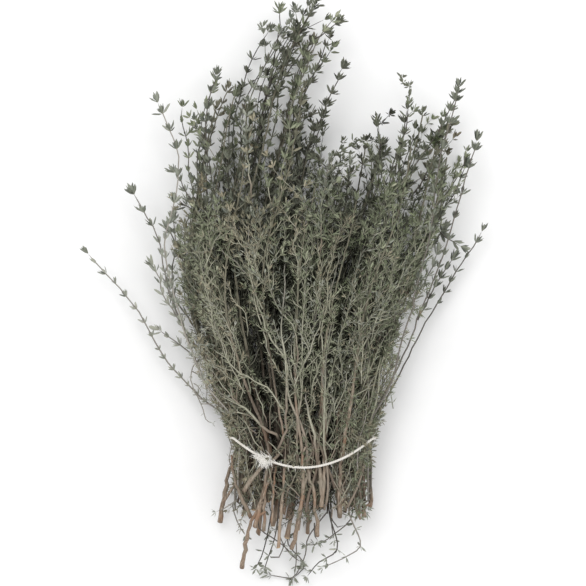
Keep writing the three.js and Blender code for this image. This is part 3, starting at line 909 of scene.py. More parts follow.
def grow_whorls(foliage, nodes, ways, turns, crowd, open_up, size, tone):
    """Leaves round each node: an opposite pair, and smaller leaves that crowd in their axils."""
    dice = foliage.dice
    owner = np.repeat(np.arange(len(nodes)), crowd)
    order = np.arange(len(owner)) - np.repeat(np.cumsum(crowd) - crowd, crowd)
    count = len(owner)
    way = ways[owner]
    y = nodes[owner, 1]
    pair = order < 2
    first = unit(np.cross(way, GROWTH_SIDE))
    second = np.cross(way, first)
    off = dice.normal(0, 1, count) * np.where(pair, TURN_UNEVENNESS, 1)
    turn = turns[owner] + math.pi * (order % 2) + off
    outward = np.cos(turn)[:, None] * first + np.sin(turn)[:, None] * second
    opening = np.where(pair, PAIR_OPENING, dice.uniform(*SMALL_OPENING, count))
    opening = along(OPENING, y) * open_up[owner] * opening
    tilt = np.radians(dice.normal(opening, TILT_UNEVENNESS))[:, None]
    leaf_way = np.cos(tilt) * way + np.sin(tilt) * outward
    face = np.sin(tilt) * way - np.cos(tilt) * outward + dice.normal(0, FACE_UNEVENNESS, (count, 3))
    aside = unit(np.cross(leaf_way, face))
    needle = dice.random(count) < along(NEEDLE_SHARE, y) - FEWER_NEEDLES * foliage.fullness
    length = size * along(LEAF_LENGTH, y) * np.where(pair, 1, dice.uniform(*SMALL_LENGTH, count))
    length = length * dice.uniform(*LENGTH_RANGE, count)
    width = length * np.where(needle, dice.uniform(*NEEDLE_WIDTH, count), dice.uniform(*BLADE_WIDTH, count))
    form = np.where(pair, np.where(dice.random(count) < CURLED_SHARE, CURLED, BROAD), SMALL)
    form = np.where(needle, NEEDLE, form)
    # Painted shade with depth, and a painted highlight on the pile's very top.
    depth = painted_shade_of(nodes[owner]) ** DEPTH_POWER
    tone = tone + along(LEAF_TONE, y) + foliage.dryness + foliage.shade - PAINTED_DEPTH_SHADE * depth
    tone = tone + patchiness(nodes[owner]) + PAINTED_TOP_LIGHT_ON_LEAVES * painted_top_light(nodes[owner])
    tone = tone + dice.normal(0, LEAF_UNEVENNESS, count)
    tone = np.round(np.clip(tone, 0, 1) * (SHADES - 1)) + SHADES * foliage.hue
    base = nodes[owner] + outward * LEAF_OFF_SHOOT
    foliage.leaves.append((base, leaf_way, np.cross(aside, leaf_way), aside, length, width, tone, form))


# Shoots dip in a hollow by a share of their height, and part by a share of its width, some more than others.
HOLLOW_DEPTH = 0.6
HOLLOW_PUSH = 0.25
YIELDING = [0.6, 1]
# This share of shoots crosses a hollow and hardly dips.
STUBBORN = 0.22
STUBBORN_YIELDING = 0.1
# Shoots dip from this share of the pile's height, and fully from twice as high.
DIP_FROM = 0.3
# Shoots hardly rise above this height, and twigs end before this distance from the tie.
HIGHEST = 58
OVER_HIGHEST = 0.15
FARTHEST = 240


def over_hollow(point):
    """How far a point is inside the hollow under it, from 0 to 1."""
    return max(hollowness(point[None], hollow)[1][0] for hollow in HOLLOWS)


def settle(points, dice):
    """A shoot's points, kept down in the pile. Most shoots dip and part a little at the hollows."""
    points = points.copy()
    yielding = dice.uniform(*YIELDING) if dice.random() > STUBBORN else STUBBORN_YIELDING
    y, z = points[:, 1], points[:, 2]
    high = np.clip((z / along(PILE_HEIGHT, y) - DIP_FROM) / DIP_FROM, 0, 1)
    dip = np.zeros(len(points))
    for hollow in HOLLOWS:
        side, inside = hollowness(points, hollow)
        dip = np.maximum(dip, np.sqrt(inside))
        points[:, 0] += yielding * HOLLOW_PUSH * hollow[2] * side * inside * high
    points[:, 2] = z * (1 - yielding * HOLLOW_DEPTH * dip * high)
    points[:, 2] = np.minimum(points[:, 2], HIGHEST + OVER_HIGHEST * (points[:, 2] - HIGHEST))
    return points


# The share of nodes with a leafy twig or a bare spur, their lengths, and how wide the bundle may get with
# them, by distance from the tie.
TWIG_SHARE = [[-60, 0.12], [0, 0.3], [60, 0.42], [100, 0.34], [140, 0.16], [240, 0.1]]
TWIG_LENGTH = [[-60, 3], [20, 4], [70, 9], [140, 9], [240, 8]]
SHORTEST_TWIG = 3
LONGEST_TWIG = 30
LONG_ENOUGH_TO_FORK = 12
TWIG_PITCH = 4.5
SPUR_SHARE = [[-60, 0.3], [0, 0.3], [60, 0.35], [110, 0.25], [150, 0.04], [240, 0]]
SPUR_LENGTH = [2, 6]
TWIG_PALENESS = 0.05
TWIG_OVER_HOLLOW = 0.1
TWIG_CROOKEDNESS = 0.2
# A twig or spur sets off by shares of the shoot's own way and of the way out from it, bends back up, and has
# these shares of a given radius at its foot and tip.
TWIG_HEADING = [0.66, 0.75]
TWIG_BEND = 0.35
TWIG_RADII = [1, 0.6]
TWIG_OF_TWIG = 0.85
SPUR_HEADING = [0.6, 0.75]
SPUR_BEND = 0.5
SPUR_RADII = [0.75, 0.35]
WIDEST = [[-60, 1], [20, 0.93], [100, 0.95], [140, 1.04], [240, 1.1]]


def twig_points(dice, point, heading, length, bend):
    """A short crooked line from a point, which bends up along the bundle."""
    steps = max(3, round(length / TWIG_PITCH) + 1)
    ways = heading + np.linspace(0, 1, steps)[:, None] * [0, bend, 0]
    ways = ways + dice.normal(0, TWIG_CROOKEDNESS, (steps, 3))
    return point + np.vstack([np.zeros(3), np.cumsum(unit(ways[1:]) * length / (steps - 1), axis=0)])


def outwards(way, turn):
    """The direction out of a shoot at a turn about it, flattened a little into the bundle."""
    first = unit(np.cross(way, GROWTH_SIDE))
    return unit((math.cos(turn) * first + math.sin(turn) * np.cross(way, first)) * [1, 1, 0.6])


def grow_twigs(foliage, nodes, ways, turns, radius, again=True):
    """Short leafy twigs and bare spurs from some nodes. A long twig can carry a few of its own."""
    dice = foliage.dice
    chance = dice.random(len(nodes))
    leafy = chance < along(TWIG_SHARE, nodes[:, 1])
    bare = ~leafy & (chance < along(TWIG_SHARE, nodes[:, 1]) + along(SPUR_SHARE, nodes[:, 1]))
    for point, way, turn in zip(nodes[leafy], ways[leafy], turns[leafy]):
        length = min(4 + dice.exponential(along(TWIG_LENGTH, point[1])), LONGEST_TWIG, FARTHEST - point[1])
        heading = TWIG_HEADING[0] * way + TWIG_HEADING[1] * outwards(way, turn)
        points = twig_points(dice, point, heading, max(length, SHORTEST_TWIG), TWIG_BEND)
        points = settle(points, dice)
        x, y, _ = points[-1]
        if over_hollow(points[-1]) > TWIG_OVER_HOLLOW or abs(across_at(x, y)) > along(WIDEST, y):
            continue
        foliage.add_rod(points, [part * radius for part in TWIG_RADII], 3, TWIG_PALENESS)
        grown = grow_leaves(foliage, points, 1.5, 0.9, 6 if point[1] > 110 else 4)
        if again and length > LONG_ENOUGH_TO_FORK:
            grow_twigs(foliage, *grown, TWIG_OF_TWIG * radius, again=False)
    for point, way, turn in zip(nodes[bare], ways[bare], turns[bare] + dice.normal(0, 0.5, bare.sum())):
        heading = SPUR_HEADING[0] * way + SPUR_HEADING[1] * outwards(way, turn)
        points = twig_points(dice, point, heading, dice.uniform(*SPUR_LENGTH), SPUR_BEND)
        if over_hollow(points[-1]) < TWIG_OVER_HOLLOW:
            foliage.add_rod(points, [part * radius for part in SPUR_RADII], 3, TWIG_PALENESS)


# How many shoots a sprig has inside the bundle and at its edge, and the share of them that run to the top.
SHOOTS = [5, 2]
TO_THE_TOP = 0.26
SHORT_SHOOT = [35, 80]
SHORT_SHOOT_END = [90, 145]
SHORTEST_SHOOT = 15
SHOOT_RADIUS = [0.32, 0.46]
SHOOT_TIP_RADIUS = 0.24
SHOOT_TWIG_RADIUS = 0.25
# The left top is the fuller one: between these places across the bundle, each sprig has some taller shoots.
TALL = [-0.64, -0.26]
TALL_SHOOTS = 1
SHOOT_FOOT = [-8, 0.62]
SHOOT_REACH = [
    [-1, 205], [-0.85, 212], [-0.74, 222], [-0.62, 232], [-0.44, 236], [-0.3, 215], [-0.22, 178],
    [-0.1, 154], [0.02, 152], [0.14, 166], [0.3, 172], [0.5, 182], [0.7, 186], [0.85, 190], [1, 160],
]
SHORTFALL = [
    [-1, 0.4], [-0.6, 0.5], [-0.4, 0.6], [-0.3, 0.6], [0, 0.35], [0.5, 0.4], [0.8, 0.6], [1, 0.7],
]
MOSTLY_LONG = 1.3
# The bundle of shoots is a little narrower than its stems above the tie: its share of the width at each side.
LEFT_SHARE = [
    [-60, 1], [0, 0.97], [28, 0.94], [55, 0.89], [100, 0.85], [127, 0.85], [150, 0.93], [180, 1], [240, 1],
]
RIGHT_SHARE = [[-60, 0.97], [0, 0.92], [30, 0.86], [60, 0.84], [90, 0.86], [130, 0.94], [240, 1]]
# Shoots lean to either side more and more from here on, and spread from the stem over a length.
LEAN = 8
LEAN_FROM = 110
SPREAD_LENGTH = [8, 30]
DRIFT = [0.7, 1.3]
TOP_LEVEL = [[80, 0.76], [160, 1.06]]
BEND_LENGTH = [24, 56]
KINK = 0.36


def wobble(dice, y, size):
    """Slow random bends and small kinks along a shoot, which start from nothing."""
    length = dice.uniform(*BEND_LENGTH, 3)
    start = dice.uniform(0, 2 * math.pi, 3)
    bends = np.sin(2 * math.pi * y[:, None] / length + start) - np.sin(2 * math.pi * y[0] / length + start)
    kinks = np.cumsum(dice.normal(0, KINK, (len(y), 3)), axis=0)
    return size * bends * [1, 0.3, 0.8] + (kinks - kinks[0]) * [1, 0.2, 1]


def drawn_in(across, y):
    """A place across the bundle, moved in to where shoots lie."""
    return across * np.where(across < 0, along(LEFT_SHARE, y), along(RIGHT_SHARE, y))


def shoot_line(sprig, dice, foot, tip, aside, over):
    """A line that leaves a sprig's stem, spreads to a new place across the bundle and follows its lines."""
    steps = max(5, int((tip - foot) / 5))
    y = np.linspace(foot, tip, steps)
    apart = 1 - np.exp(-(y - foot) / dice.uniform(*SPREAD_LENGTH))
    drift = np.linspace(*DRIFT, steps)
    points = stem_line(sprig, y) - lie(sprig.across, sprig.level, y)
    points[:, 0] += dice.normal(0, LEAN) * (np.clip(y - LEAN_FROM, 0, None) / LEAN_FROM) ** 1.5
    across = drawn_in(np.clip(sprig.across + aside * apart * drift, -1, 1), y)
    level = np.clip(sprig.level + over * apart, 0, np.interp(y, *np.transpose(TOP_LEVEL)))
    return settle(points + lie(across, level, y) + wobble(dice, y, 0.8), dice)


def farthest(dice, across):
    """How far a shoot at a place across the bundle may reach: mostly near its outline, some well short."""
    short = along(SHORTFALL, across) * dice.random() ** MOSTLY_LONG
    return float(along(SHOOT_REACH, across) * (1.01 - short))


def grow_shoot(foliage, sprig, part, tall=False):
    """One side shoot, from a part of the stem, with leaves and twigs. Some run on to the bundle's top."""
    dice = foliage.dice
    foot = SHOOT_FOOT[0] + part * (SHOOT_FOOT[1] * sprig.tip - SHOOT_FOOT[0])
    aside = dice.choice([-1, 1]) * abs(dice.normal(0.15, 0.2))
    aside = np.clip(sprig.across + aside, -1, 1) - sprig.across
    over = dice.normal(0.07, 0.2)
    tip = farthest(dice, sprig.across + aside)
    if not tall and dice.random() > TO_THE_TOP:
        tip = min(foot + dice.uniform(*SHORT_SHOOT), dice.uniform(*SHORT_SHOOT_END), tip)
    if tip < foot + SHORTEST_SHOOT:
        return
    points = shoot_line(sprig, dice, foot, tip, aside, over)
    foliage.new_shoot(points[-1])
    foliage.add_rod(points, (dice.uniform(*SHOOT_RADIUS), SHOOT_TIP_RADIUS), 4)
    grow_twigs(foliage, *grow_leaves(foliage, points, 5), SHOOT_TWIG_RADIUS)


COMPANIONS = 2
COMPANION_FOOT = [-30, -4]
COMPANION_RADIUS = [0.4, 0.95]
COMPANION_TIP_RADIUS = 0.25
COMPANION_SHORT_END = [70, 140]
COMPANION_STEP = 5.5
COMPANION_BARE = [4, 40]
# It crosses between places to both sides of its sprig, over a length, and gets thinner over another.
COMPANION_ASIDE = 0.34
CROSSING_FROM = -45
CROSSING_LENGTH = 90
THINNING_LENGTH = 65
# Sprigs past these places across the bundle lie at its edge, and at its sides near the tie.
EDGE = 0.85
SIDE = 0.72


def grow_companion(foliage, sprig):
    """A thinner woody stem that crosses from one side of its sprig to the other, leafy above the tie."""
    dice = foliage.dice
    foot = dice.uniform(*COMPANION_FOOT)
    offsets = dice.normal(0, COMPANION_ASIDE, 2)
    if abs(sprig.across) >= EDGE:
        offsets = offsets * [0.3, -np.sign(sprig.across)]
    most = farthest(dice, np.clip(sprig.across + offsets[1], -1, 1))
    if dice.random() > TO_THE_TOP:
        most = min(most, dice.uniform(*COMPANION_SHORT_END))
    y = np.arange(foot, most, COMPANION_STEP)
    change = np.clip((y - CROSSING_FROM) / CROSSING_LENGTH, 0, 1)
    across = sprig.across + offsets[0] + (offsets[1] - offsets[0]) * change
    across = drawn_in(np.clip(across, -0.98, 0.98), y)
    level = np.clip(sprig.level + dice.normal(0.02, 0.12) + dice.normal(0, 0.15) * change, 0.03, 1)
    points = settle(lie(across, level, y) + wobble(dice, y, 0.7), dice)
    thick = dice.uniform(*COMPANION_RADIUS)
    foliage.new_shoot(points[-1])
    thinned = np.exp(-((y - foot) / THINNING_LENGTH) ** 2)
    radii = COMPANION_TIP_RADIUS + (thick - COMPANION_TIP_RADIUS) * thinned
    radii = radii * dice.normal(1, RADIUS_UNEVENNESS, len(y))
    foliage.add_rod(points, radii, 5, woody=True)
    grow_twigs(foliage, *grow_leaves(foliage, points, dice.uniform(*COMPANION_BARE)), 0.27)


# Forked pale shoots grow on the sprigs above this level in the pile, from these places up the stem.
PLUME_LEVEL = 0.55
PLUME_FEET = [4, 22, 40, 58]
PLUME_FOOT_RANGE = 24
PLUME_LENGTH = [45, 95]
PLUME_END = [95, 165]
PLUME_PITCH = 4.5
PLUME_TURN = [0.1, 0.5]
PLUME_INWARDS_FROM = 0.7
PLUME_RISE = 16
PLUME_OVER_HOLLOW = 0.35
FORK_OVER_HOLLOW = 0.25
EDGE_MARGIN = 0.1
# The share of its turn that a shoot keeps at each bend, and the chance that its forks change sides.
TURN_KEPT = 0.88
OTHER_SIDE = 0.8
PLUME_CROOKEDNESS = 0.16
PLUME_HEIGHT_UNEVENNESS = 0.5
PLUME_TOP = [0.8, 1.05]
PLUME_FOOT_RADIUS = 0.46
# Paler than other shoots, and each by a little more or less.
PLUME_PALENESS = 0.15
PLUME_FOOT_PALENESS = 0.1
PLUME_TONE = [0.01, 0.12]
# Each order of forks: radii at foot and tip, sides, chance of a fork at a bend, its angle and its length.
PLUME_ORDERS = [
    SimpleNamespace(radii=(0.39, 0.22), sides=5, chance=0.75, angle=[0.4, 0.8], length=[10, 28]),
    SimpleNamespace(radii=(0.27, 0.18), sides=4, chance=0.5, angle=[0.45, 0.95], length=[3, 9]),
    SimpleNamespace(radii=(0.22, 0.15), sides=3, chance=0, angle=None, length=None),
]


def plume_line(dice, start, levels, turn, length):
    """A crooked line over the pile, which starts at a turn from the bundle's lines and bends back to them."""
    steps = max(2, round(length / PLUME_PITCH))
    points = [start]
    for level in np.linspace(*levels, steps + 1)[1:]:
        x, y, _ = points[-1]
        ahead = lie(np.clip(across_at(x, y), -1, 1), 0.5, np.array([y, y + 1.0]))
        heading = math.atan2(ahead[1, 0] - ahead[0, 0], 1) + turn + dice.normal(0, PLUME_CROOKEDNESS)
        x = x + length / steps * math.sin(heading)
        y = y + length / steps * math.cos(heading)
        pile = lie(np.clip(across_at(x, y), -1, 1), level, np.array([y]))[0, 2]
        points.append(np.array([x, y, pile + dice.normal(0, PLUME_HEIGHT_UNEVENNESS)]))
        turn *= TURN_KEPT
    return np.array(points)


def grow_plume(foliage, start, levels, turn, length, paleness, order=0):
    """A much-forked pale shoot on top of the pile, with short needles. It forks at its bends."""
    dice = foliage.dice
    kind = PLUME_ORDERS[order]
    points = plume_line(dice, start, levels, turn, length)
    settled = settle(points, dice)
    if order == 0 and dice.random() > STUBBORN:
        if max(over_hollow(point) for point in points) > PLUME_OVER_HOLLOW:
            return
    foliage.add_rod(settled, kind.radii, kind.sides, PLUME_PALENESS + paleness)
    grow_leaves(foliage, settled, 2 if order == 0 else 1, 0.8, 3, gap=0.6, tone=0.05 + paleness)
    side = dice.choice([-1, 1])
    for k in range(1, len(points) - 1):
        side = -side if dice.random() < OTHER_SIDE else side
        x, y, _ = points[k]
        at_edge = abs(across_at(x, y)) > along(WIDEST, y) - EDGE_MARGIN
        if dice.random() > kind.chance or at_edge or over_hollow(points[k]) > FORK_OVER_HOLLOW:
            continue
        left = 1 - k / len(points)
        branch = dice.uniform(*kind.length) * (0.5 + 0.5 * left)
        level = levels[0] + (levels[1] - levels[0]) * k / (len(points) - 1)
        ends = (level, level + dice.uniform(-0.03, 0.06))
        off = turn * TURN_KEPT**k + side * dice.uniform(*kind.angle)
        grow_plume(foliage, points[k], ends, off, branch, paleness, order + 1)


def grow_plumes(foliage, sprig):
    """The forked shoots that rise from a sprig's stem to the top of the pile."""
    dice = foliage.dice
    for foot in PLUME_FEET:
        y = foot + dice.uniform(0, PLUME_FOOT_RANGE)
        length = min(dice.uniform(*PLUME_LENGTH), dice.uniform(*PLUME_END) - y)
        start = stem_line(sprig, np.array([y]))[0]
        foliage.new_shoot([start[0], y + length])
        turn = dice.uniform(*PLUME_TURN)
        inwards = abs(sprig.across) > PLUME_INWARDS_FROM
        turn = turn * (-np.sign(sprig.across) if inwards else dice.choice([-1, 1]))
        top = dice.uniform(*PLUME_TOP)
        paleness = dice.normal(*PLUME_TONE)
        shoot = plume_line(dice, start, (sprig.level, top), 0.6 * turn, PLUME_RISE)
        radii = (PLUME_FOOT_RADIUS, PLUME_ORDERS[0].radii[0])
        foliage.add_rod(shoot, radii, 5, PLUME_FOOT_PALENESS + paleness)
        grow_plume(foliage, shoot[-1], (top, top + dice.uniform(-0.06, 0.04)), turn, length, paleness)


# Bare dry twigs near the tie: how many for each sprig, where they start, and their size.
HAIRS = 10
HAIR_FOOT = [-32, 34]
HAIR_LENGTH = [14, 38]
HAIR_RADIUS = [0.2, 0.4]
HAIR_TIP_RADIUS = 0.16
HAIR_WOODY = 0.6
HAIR_HIGHEST = 42
HAIR_EDGE = 0.96


def grow_hair(foliage, sprig):
    """A bare dry twig, as thin as thread, that runs crookedly among the stems near the tie."""
    dice = foliage.dice
    across = np.clip(sprig.across + dice.normal(0, 0.16), -0.95, 0.95)
    level = np.clip(sprig.level + dice.normal(0.08, 0.1), 0.05, 1.04)
    start = lie(across, level, np.array([dice.uniform(*HAIR_FOOT)]))[0]
    sideways = dice.normal(0.15 * across, dice.choice([0.36, 0.36, 1.1]))
    heading = np.array([sideways, 1, dice.normal(0, 0.05)])
    points = twig_points(dice, start, heading, dice.uniform(*HAIR_LENGTH), 0)
    points[:, 2] = np.minimum(points[:, 2], HAIR_HIGHEST)
    if abs(across_at(*points[-1, :2])) > HAIR_EDGE:
        return
    radii = (dice.uniform(*HAIR_RADIUS), HAIR_TIP_RADIUS)
    paleness = dice.normal(0.22, 0.16)
    foliage.add_rod(points, radii, 4, paleness, woody=dice.random() < HAIR_WOODY)
    foliage.new_shoot(start)
    grow_leaves(foliage, points, 2, 0.8, 2, gap=1.3)


# Short leafy shoots at the sides of the tie, and caught between the stems near it. They point up or down the
# bundle, two in three of them up. Between the bare strips' places from side to side, stems lie mostly bare.
SIDE_TUFTS = 16
SIDE_TUFT_PLACE = [0.85, 1.05]
SIDE_TUFT_FOOT = [-28, 24]
SIDE_TUFT_LENGTH = [4, 10]
SIDE_REACH = [-38, 34]
SPRAYS = 6
SPRAY_FOOT = [-26, 30]
SPRAY_LENGTH = [6, 16]
SPRAY_HIGHEST = 41
SPRAY_EDGE = 1.1
BARE_STRIPS = [[-24, -8], [1, 17]]
KEPT_BARE = 0.8


def grow_side_tufts(foliage, sprig):
    """Short dark leafy shoots at the sides of the tie, some of them over the string."""
    dice = foliage.dice
    for _ in range(SIDE_TUFTS):
        across = math.copysign(dice.uniform(*SIDE_TUFT_PLACE), sprig.across)
        start = lie(across, dice.uniform(0.2, 0.95), np.array([dice.uniform(*SIDE_TUFT_FOOT)]))[0]
        sideways = dice.normal(0.25, 0.3) * across
        heading = np.array([sideways, dice.choice([1, 1, -1]) * dice.uniform(0.6, 1), 0.15])
        points = twig_points(dice, start, heading, dice.uniform(*SIDE_TUFT_LENGTH), 0.2)
        if not SIDE_REACH[0] < points[-1, 0] < SIDE_REACH[1]:
            continue
        foliage.add_rod(points, (0.36, 0.22), 3, -0.25)
        grow_leaves(foliage, points, 0.5, 1.1, 6, gap=0.45, tone=-0.2)


def grow_spray(foliage, sprig):
    """A short leafy shoot that is caught between the stems near the tie."""
    dice = foliage.dice
    across = np.clip(sprig.across + dice.normal(0, 0.12), -1, 1)
    level = np.clip(sprig.level + dice.normal(0.04, 0.1), 0.05, 1)
    start = lie(across, level, np.array([dice.uniform(*SPRAY_FOOT)]))[0]
    if any(low < start[0] < high for low, high in BARE_STRIPS) and dice.random() < KEPT_BARE:
        return
    sideways = dice.normal(0.1 * across, 0.4)
    heading = np.array([sideways, dice.choice([1, 1, -1]) * dice.uniform(0.4, 1), 0.1])
    points = twig_points(dice, start, heading, dice.uniform(*SPRAY_LENGTH), 0.2)
    points[:, 2] = np.minimum(points[:, 2], SPRAY_HIGHEST)
    if abs(across_at(*points[-1, :2])) > SPRAY_EDGE:
        return
    foliage.new_shoot(start)
    foliage.add_rod(points, (0.38, 0.24), 3, -0.2)
    grow_leaves(foliage, points, 1, 1.1, 6, gap=0.7, tone=-0.14)


SHOOTS_SEED = 2000
LEAFY_FROM = 0.35

for n, sprig in enumerate(sprigs):
    foliage = Foliage(SHOOTS_SEED + n)
    at_edge = abs(sprig.across) > EDGE
    shoots = SHOOTS[at_edge]
    for k in range(shoots):
        grow_shoot(foliage, sprig, (k + foliage.dice.random()) / shoots)
    if TALL[0] < sprig.across < TALL[1]:
        for _ in range(TALL_SHOOTS):
            grow_shoot(foliage, sprig, foliage.dice.uniform(0.5, 1), tall=True)
    for _ in range(COMPANIONS):
        grow_companion(foliage, sprig)
    for _ in range(SPRAYS):
        grow_spray(foliage, sprig)
    for _ in range(HAIRS):
        grow_hair(foliage, sprig)
    if abs(sprig.across) > SIDE:
        grow_side_tufts(foliage, sprig)
    if sprig.level > PLUME_LEVEL and not at_edge:
        grow_plumes(foliage, sprig)
    y = np.linspace(LEAFY_FROM * sprig.tip, sprig.tip, 24)
    grow_twigs(foliage, *grow_leaves(foliage, stem_line(sprig, y), 0), 0.26)
    foliage.finish(sprig.name + "_shoots_and_leaves")

# ---- Front branches ----
# The grey-green and brown forked branches that lie on top of the pile and catch the light. They rise from
# among the stems near the tie, cross over the hollows, and are part of the sprigs under them.


def smooth_line(points, spacing):
    """Evenly spaced points on a smooth curve through a few points."""
    points = np.array(points, float)
    reach = np.concatenate([[0], np.cumsum(np.linalg.norm(np.diff(points, axis=0), axis=1))])
    places = np.linspace(0, reach[-1], max(4, round(reach[-1] / spacing)))
    return np.stack([along(np.c_[reach, points[:, axis]], places) for axis in range(points.shape[1])], 1)


# Each branch: its radius at foot and tip, and the places that it passes, as [x, distance from the tie].
GREY_BRANCHES = [
    (0.42, 0.22, [[-25.5, 86], [-26.5, 97], [-28, 104.5], [-31, 111], [-37, 115]]),
    (0.3, 0.18, [[-31, 109], [-37.4, 110.8], [-41, 114], [-44.7, 119]]),
    (0.38, 0.18, [[-25, 93], [-25.5, 104.5], [-26.5, 109], [-24.4, 114], [-24.4, 120], [-22, 124]]),
    (0.42, 0.22, [[-8, 20], [-11, 26], [-15, 31], [-17, 35], [-25, 39], [-32, 43], [-37, 47], [-42, 59],
                  [-50, 80]]),
    (0.38, 0.22, [[-10.4, 41], [-13.3, 46], [-17.2, 51.5], [-19.2, 57], [-20.5, 58.5]]),
    (0.3, 0.22, [[1.6, 16], [3.6, 22], [7.5, 31]]),
    (0.46, 0.22, [[3, 28], [5.7, 39], [8.3, 48], [12, 55], [15, 63], [16, 71], [16.6, 77]]),
    (0.46, 0.22, [[22, 36], [20, 42], [19, 52], [18, 59], [21, 69], [24, 78], [25.5, 87], [28, 98],
                  [30, 104.5], [44, 109]]),
    (0.3, 0.18, [[30, 104], [30, 113], [35, 117.5], [38, 119.6]]),
    (0.38, 0.18, [[0, 31], [-1, 39], [-1, 44], [0.5, 49], [3, 57], [1, 61], [1.6, 68], [0, 76], [0.5, 86],
                  [1.6, 95], [1, 103.5], [1.6, 109], [5.7, 116]]),
    (0.3, 0.18, [[-0.5, 78.5], [-3.6, 82.7], [-5.7, 88], [-3.6, 91]]),
    (0.42, 0.18, [[7.8, 57], [8.8, 65], [11.4, 75], [12.5, 84], [12, 93], [14, 100], [16.6, 111], [20, 117],
                  [25.5, 122]]),
    (0.34, 0.22, [[-2.6, 88], [-3, 99], [-4.7, 107], [-4.2, 116.5], [-3.6, 122]]),
    (0.42, 0.22, [[-43.7, 57], [-45.8, 65], [-47.3, 76], [-50.4, 90.5], [-53, 103.5], [-53.6, 113]]),
    (0.3, 0.18, [[-32.8, 54.6], [-37.4, 65], [-41, 72], [-46, 78.5], [-51, 82.7]]),
    (0.3, 0.18, [[-28, 62], [-30, 75], [-34.3, 78.5], [-38, 86], [-42, 96]]),
    (0.34, 0.18, [[42.6, 86], [48.4, 103.5], [48.9, 120], [50.4, 132.6]]),
    (0.3, 0.17, [[24, 60], [34, 71], [45, 86], [54.6, 97]]),
    (0.3, 0.17, [[16.6, 47], [27, 57], [37.4, 67.6], [47.8, 78]]),
    (0.3, 0.17, [[29.6, 31], [33.8, 44], [40, 57], [46, 67.6]]),
    (0.3, 0.18, [[15, 15], [17.7, 25.5], [21.8, 35.4], [28, 48]]),
    (0.27, 0.18, [[17.7, 15.6], [21.3, 12.5], [26.5, 11]]),
    (0.27, 0.18, [[19.8, 20], [25, 18.7], [30, 20.8], [31.7, 23.4]]),
]
BROWN_BRANCHES = [
    (0.72, 0.25, [[-14.6, 0.5], [-12, 5.7], [-9.4, 12.5], [-8.8, 25.5], [-8.6, 35], [-8.1, 45], [-9.4, 51],
                  [-14.6, 58], [-18.7, 65], [-20, 72], [-24, 80], [-25, 87], [-30, 96], [-37, 102],
                  [-45, 110]]),
    (0.84, 0.29, [[-12, 8.5], [-14.6, 11.7], [-20, 15], [-24.4, 19], [-30.7, 25.5], [-37, 29], [-43.7, 34],
                  [-47, 39]]),
    (0.46, 0.25, [[-24.4, 18.7], [-27.6, 20.8], [-38.5, 23.4], [-42, 24]]),
    (0.38, 0.22, [[-20, 14], [-32, 15.3], [-35, 15.6], [-38, 17.2]]),
    (0.38, 0.25, [[-18.7, 15], [-21, 25.5], [-23, 31], [-24.4, 38.5]]),
    (0.46, 0.22, [[-5, 42], [-3, 49], [-3, 59], [-3.6, 64.5], [-7, 70], [-11.4, 74], [-14, 79], [-17, 86],
                  [-24, 94]]),
    (0.38, 0.25, [[7.8, 101], [9.4, 114], [8.8, 126], [11, 139], [12, 146], [14, 153]]),
    (0.38, 0.25, [[-26, 132], [-27.6, 147], [-29, 159], [-29.6, 169]]),
    (0.3, 0.22, [[-15, 125], [-17, 133], [-18.7, 140], [-20.3, 149]]),
    (0.84, 0.43, [[7.5, -1], [6.2, 5], [5.7, 12.5], [3.6, 19], [2, 26], [1, 34]]),
    (0.72, 0.43, [[12, 10], [11.4, 25], [10, 40], [8.8, 46]]),
    (0.49, 0.36, [[1, 4], [4.7, 5.2], [11.4, 5.7], [15, 4.7]]),
]
GREY_SEED = 2700
BROWN_SEED = 2800
BRANCH_LEVEL = 1.02
BRANCH_PITCH = 3.6
BRANCH_UNEVENNESS = 0.3
# A branch's foot is sunk this deep in the pile, and its first points rise by this much each.
BRANCH_SUNK = 5
BRANCH_RISE = 2.5
# The share of bends that fork, above a distance from the tie, and a fork's angle and length.
FORKED = 0.85
FORKED_FROM = 8
FORK_ANGLE = [0.4, 0.85]
FORK_LENGTH = [3, 13]


def grow_branch(foliage, radii, places, woody, paleness):
    """One branch on top of the pile, with small forks and short needles. Its foot comes up from the pile."""
    dice = foliage.dice
    line = smooth_line(places, BRANCH_PITCH)
    line += dice.normal(0, BRANCH_UNEVENNESS, line.shape)
    x, y = line.T
    across = np.clip(across_at(x, y), -1, 1)
    sunk = np.maximum(0, BRANCH_SUNK - BRANCH_RISE * np.arange(len(y)))
    height = lie(across, BRANCH_LEVEL, y)[:, 2] - sunk
    line = np.c_[line, np.minimum(height, HIGHEST)]
    foliage.new_shoot()
    foliage.add_rod(line, radii, 6 if radii[0] > 0.7 else 5, paleness, woody=woody)
    grow_leaves(foliage, line, 12 if woody else 2, 0.85, 3, gap=0.45, tone=0.02)
    slope = np.gradient(line, axis=0)
    side = dice.choice([-1, 1])
    for k in range(2, len(line) - 1, 2):
        if dice.random() > FORKED or y[k] < FORKED_FROM:
            continue
        ahead = lie(across[k], 0.5, np.array([y[k], y[k] + 1.0]))
        off = math.atan2(slope[k, 0], slope[k, 1]) - math.atan2(ahead[1, 0] - ahead[0, 0], 1)
        turn = off + side * dice.uniform(*FORK_ANGLE)
        levels = (BRANCH_LEVEL, BRANCH_LEVEL)
        grow_plume(foliage, line[k], levels, turn, dice.uniform(*FORK_LENGTH), paleness - 0.1, order=1)
        side = -side


for name, seed, branches, woody, paleness in (
    ("grey_front_branches", GREY_SEED, GREY_BRANCHES, False, 0.12),
    ("brown_front_branches", BROWN_SEED, BROWN_BRANCHES, True, 0.1),
):
    foliage = Foliage(seed)
    for foot_radius, tip_radius, places in branches:
        radii = (foot_radius, tip_radius)
        grow_branch(foliage, radii, places, woody, foliage.dice.normal(paleness, SPRIG_UNEVENNESS))
    foliage.finish(name)

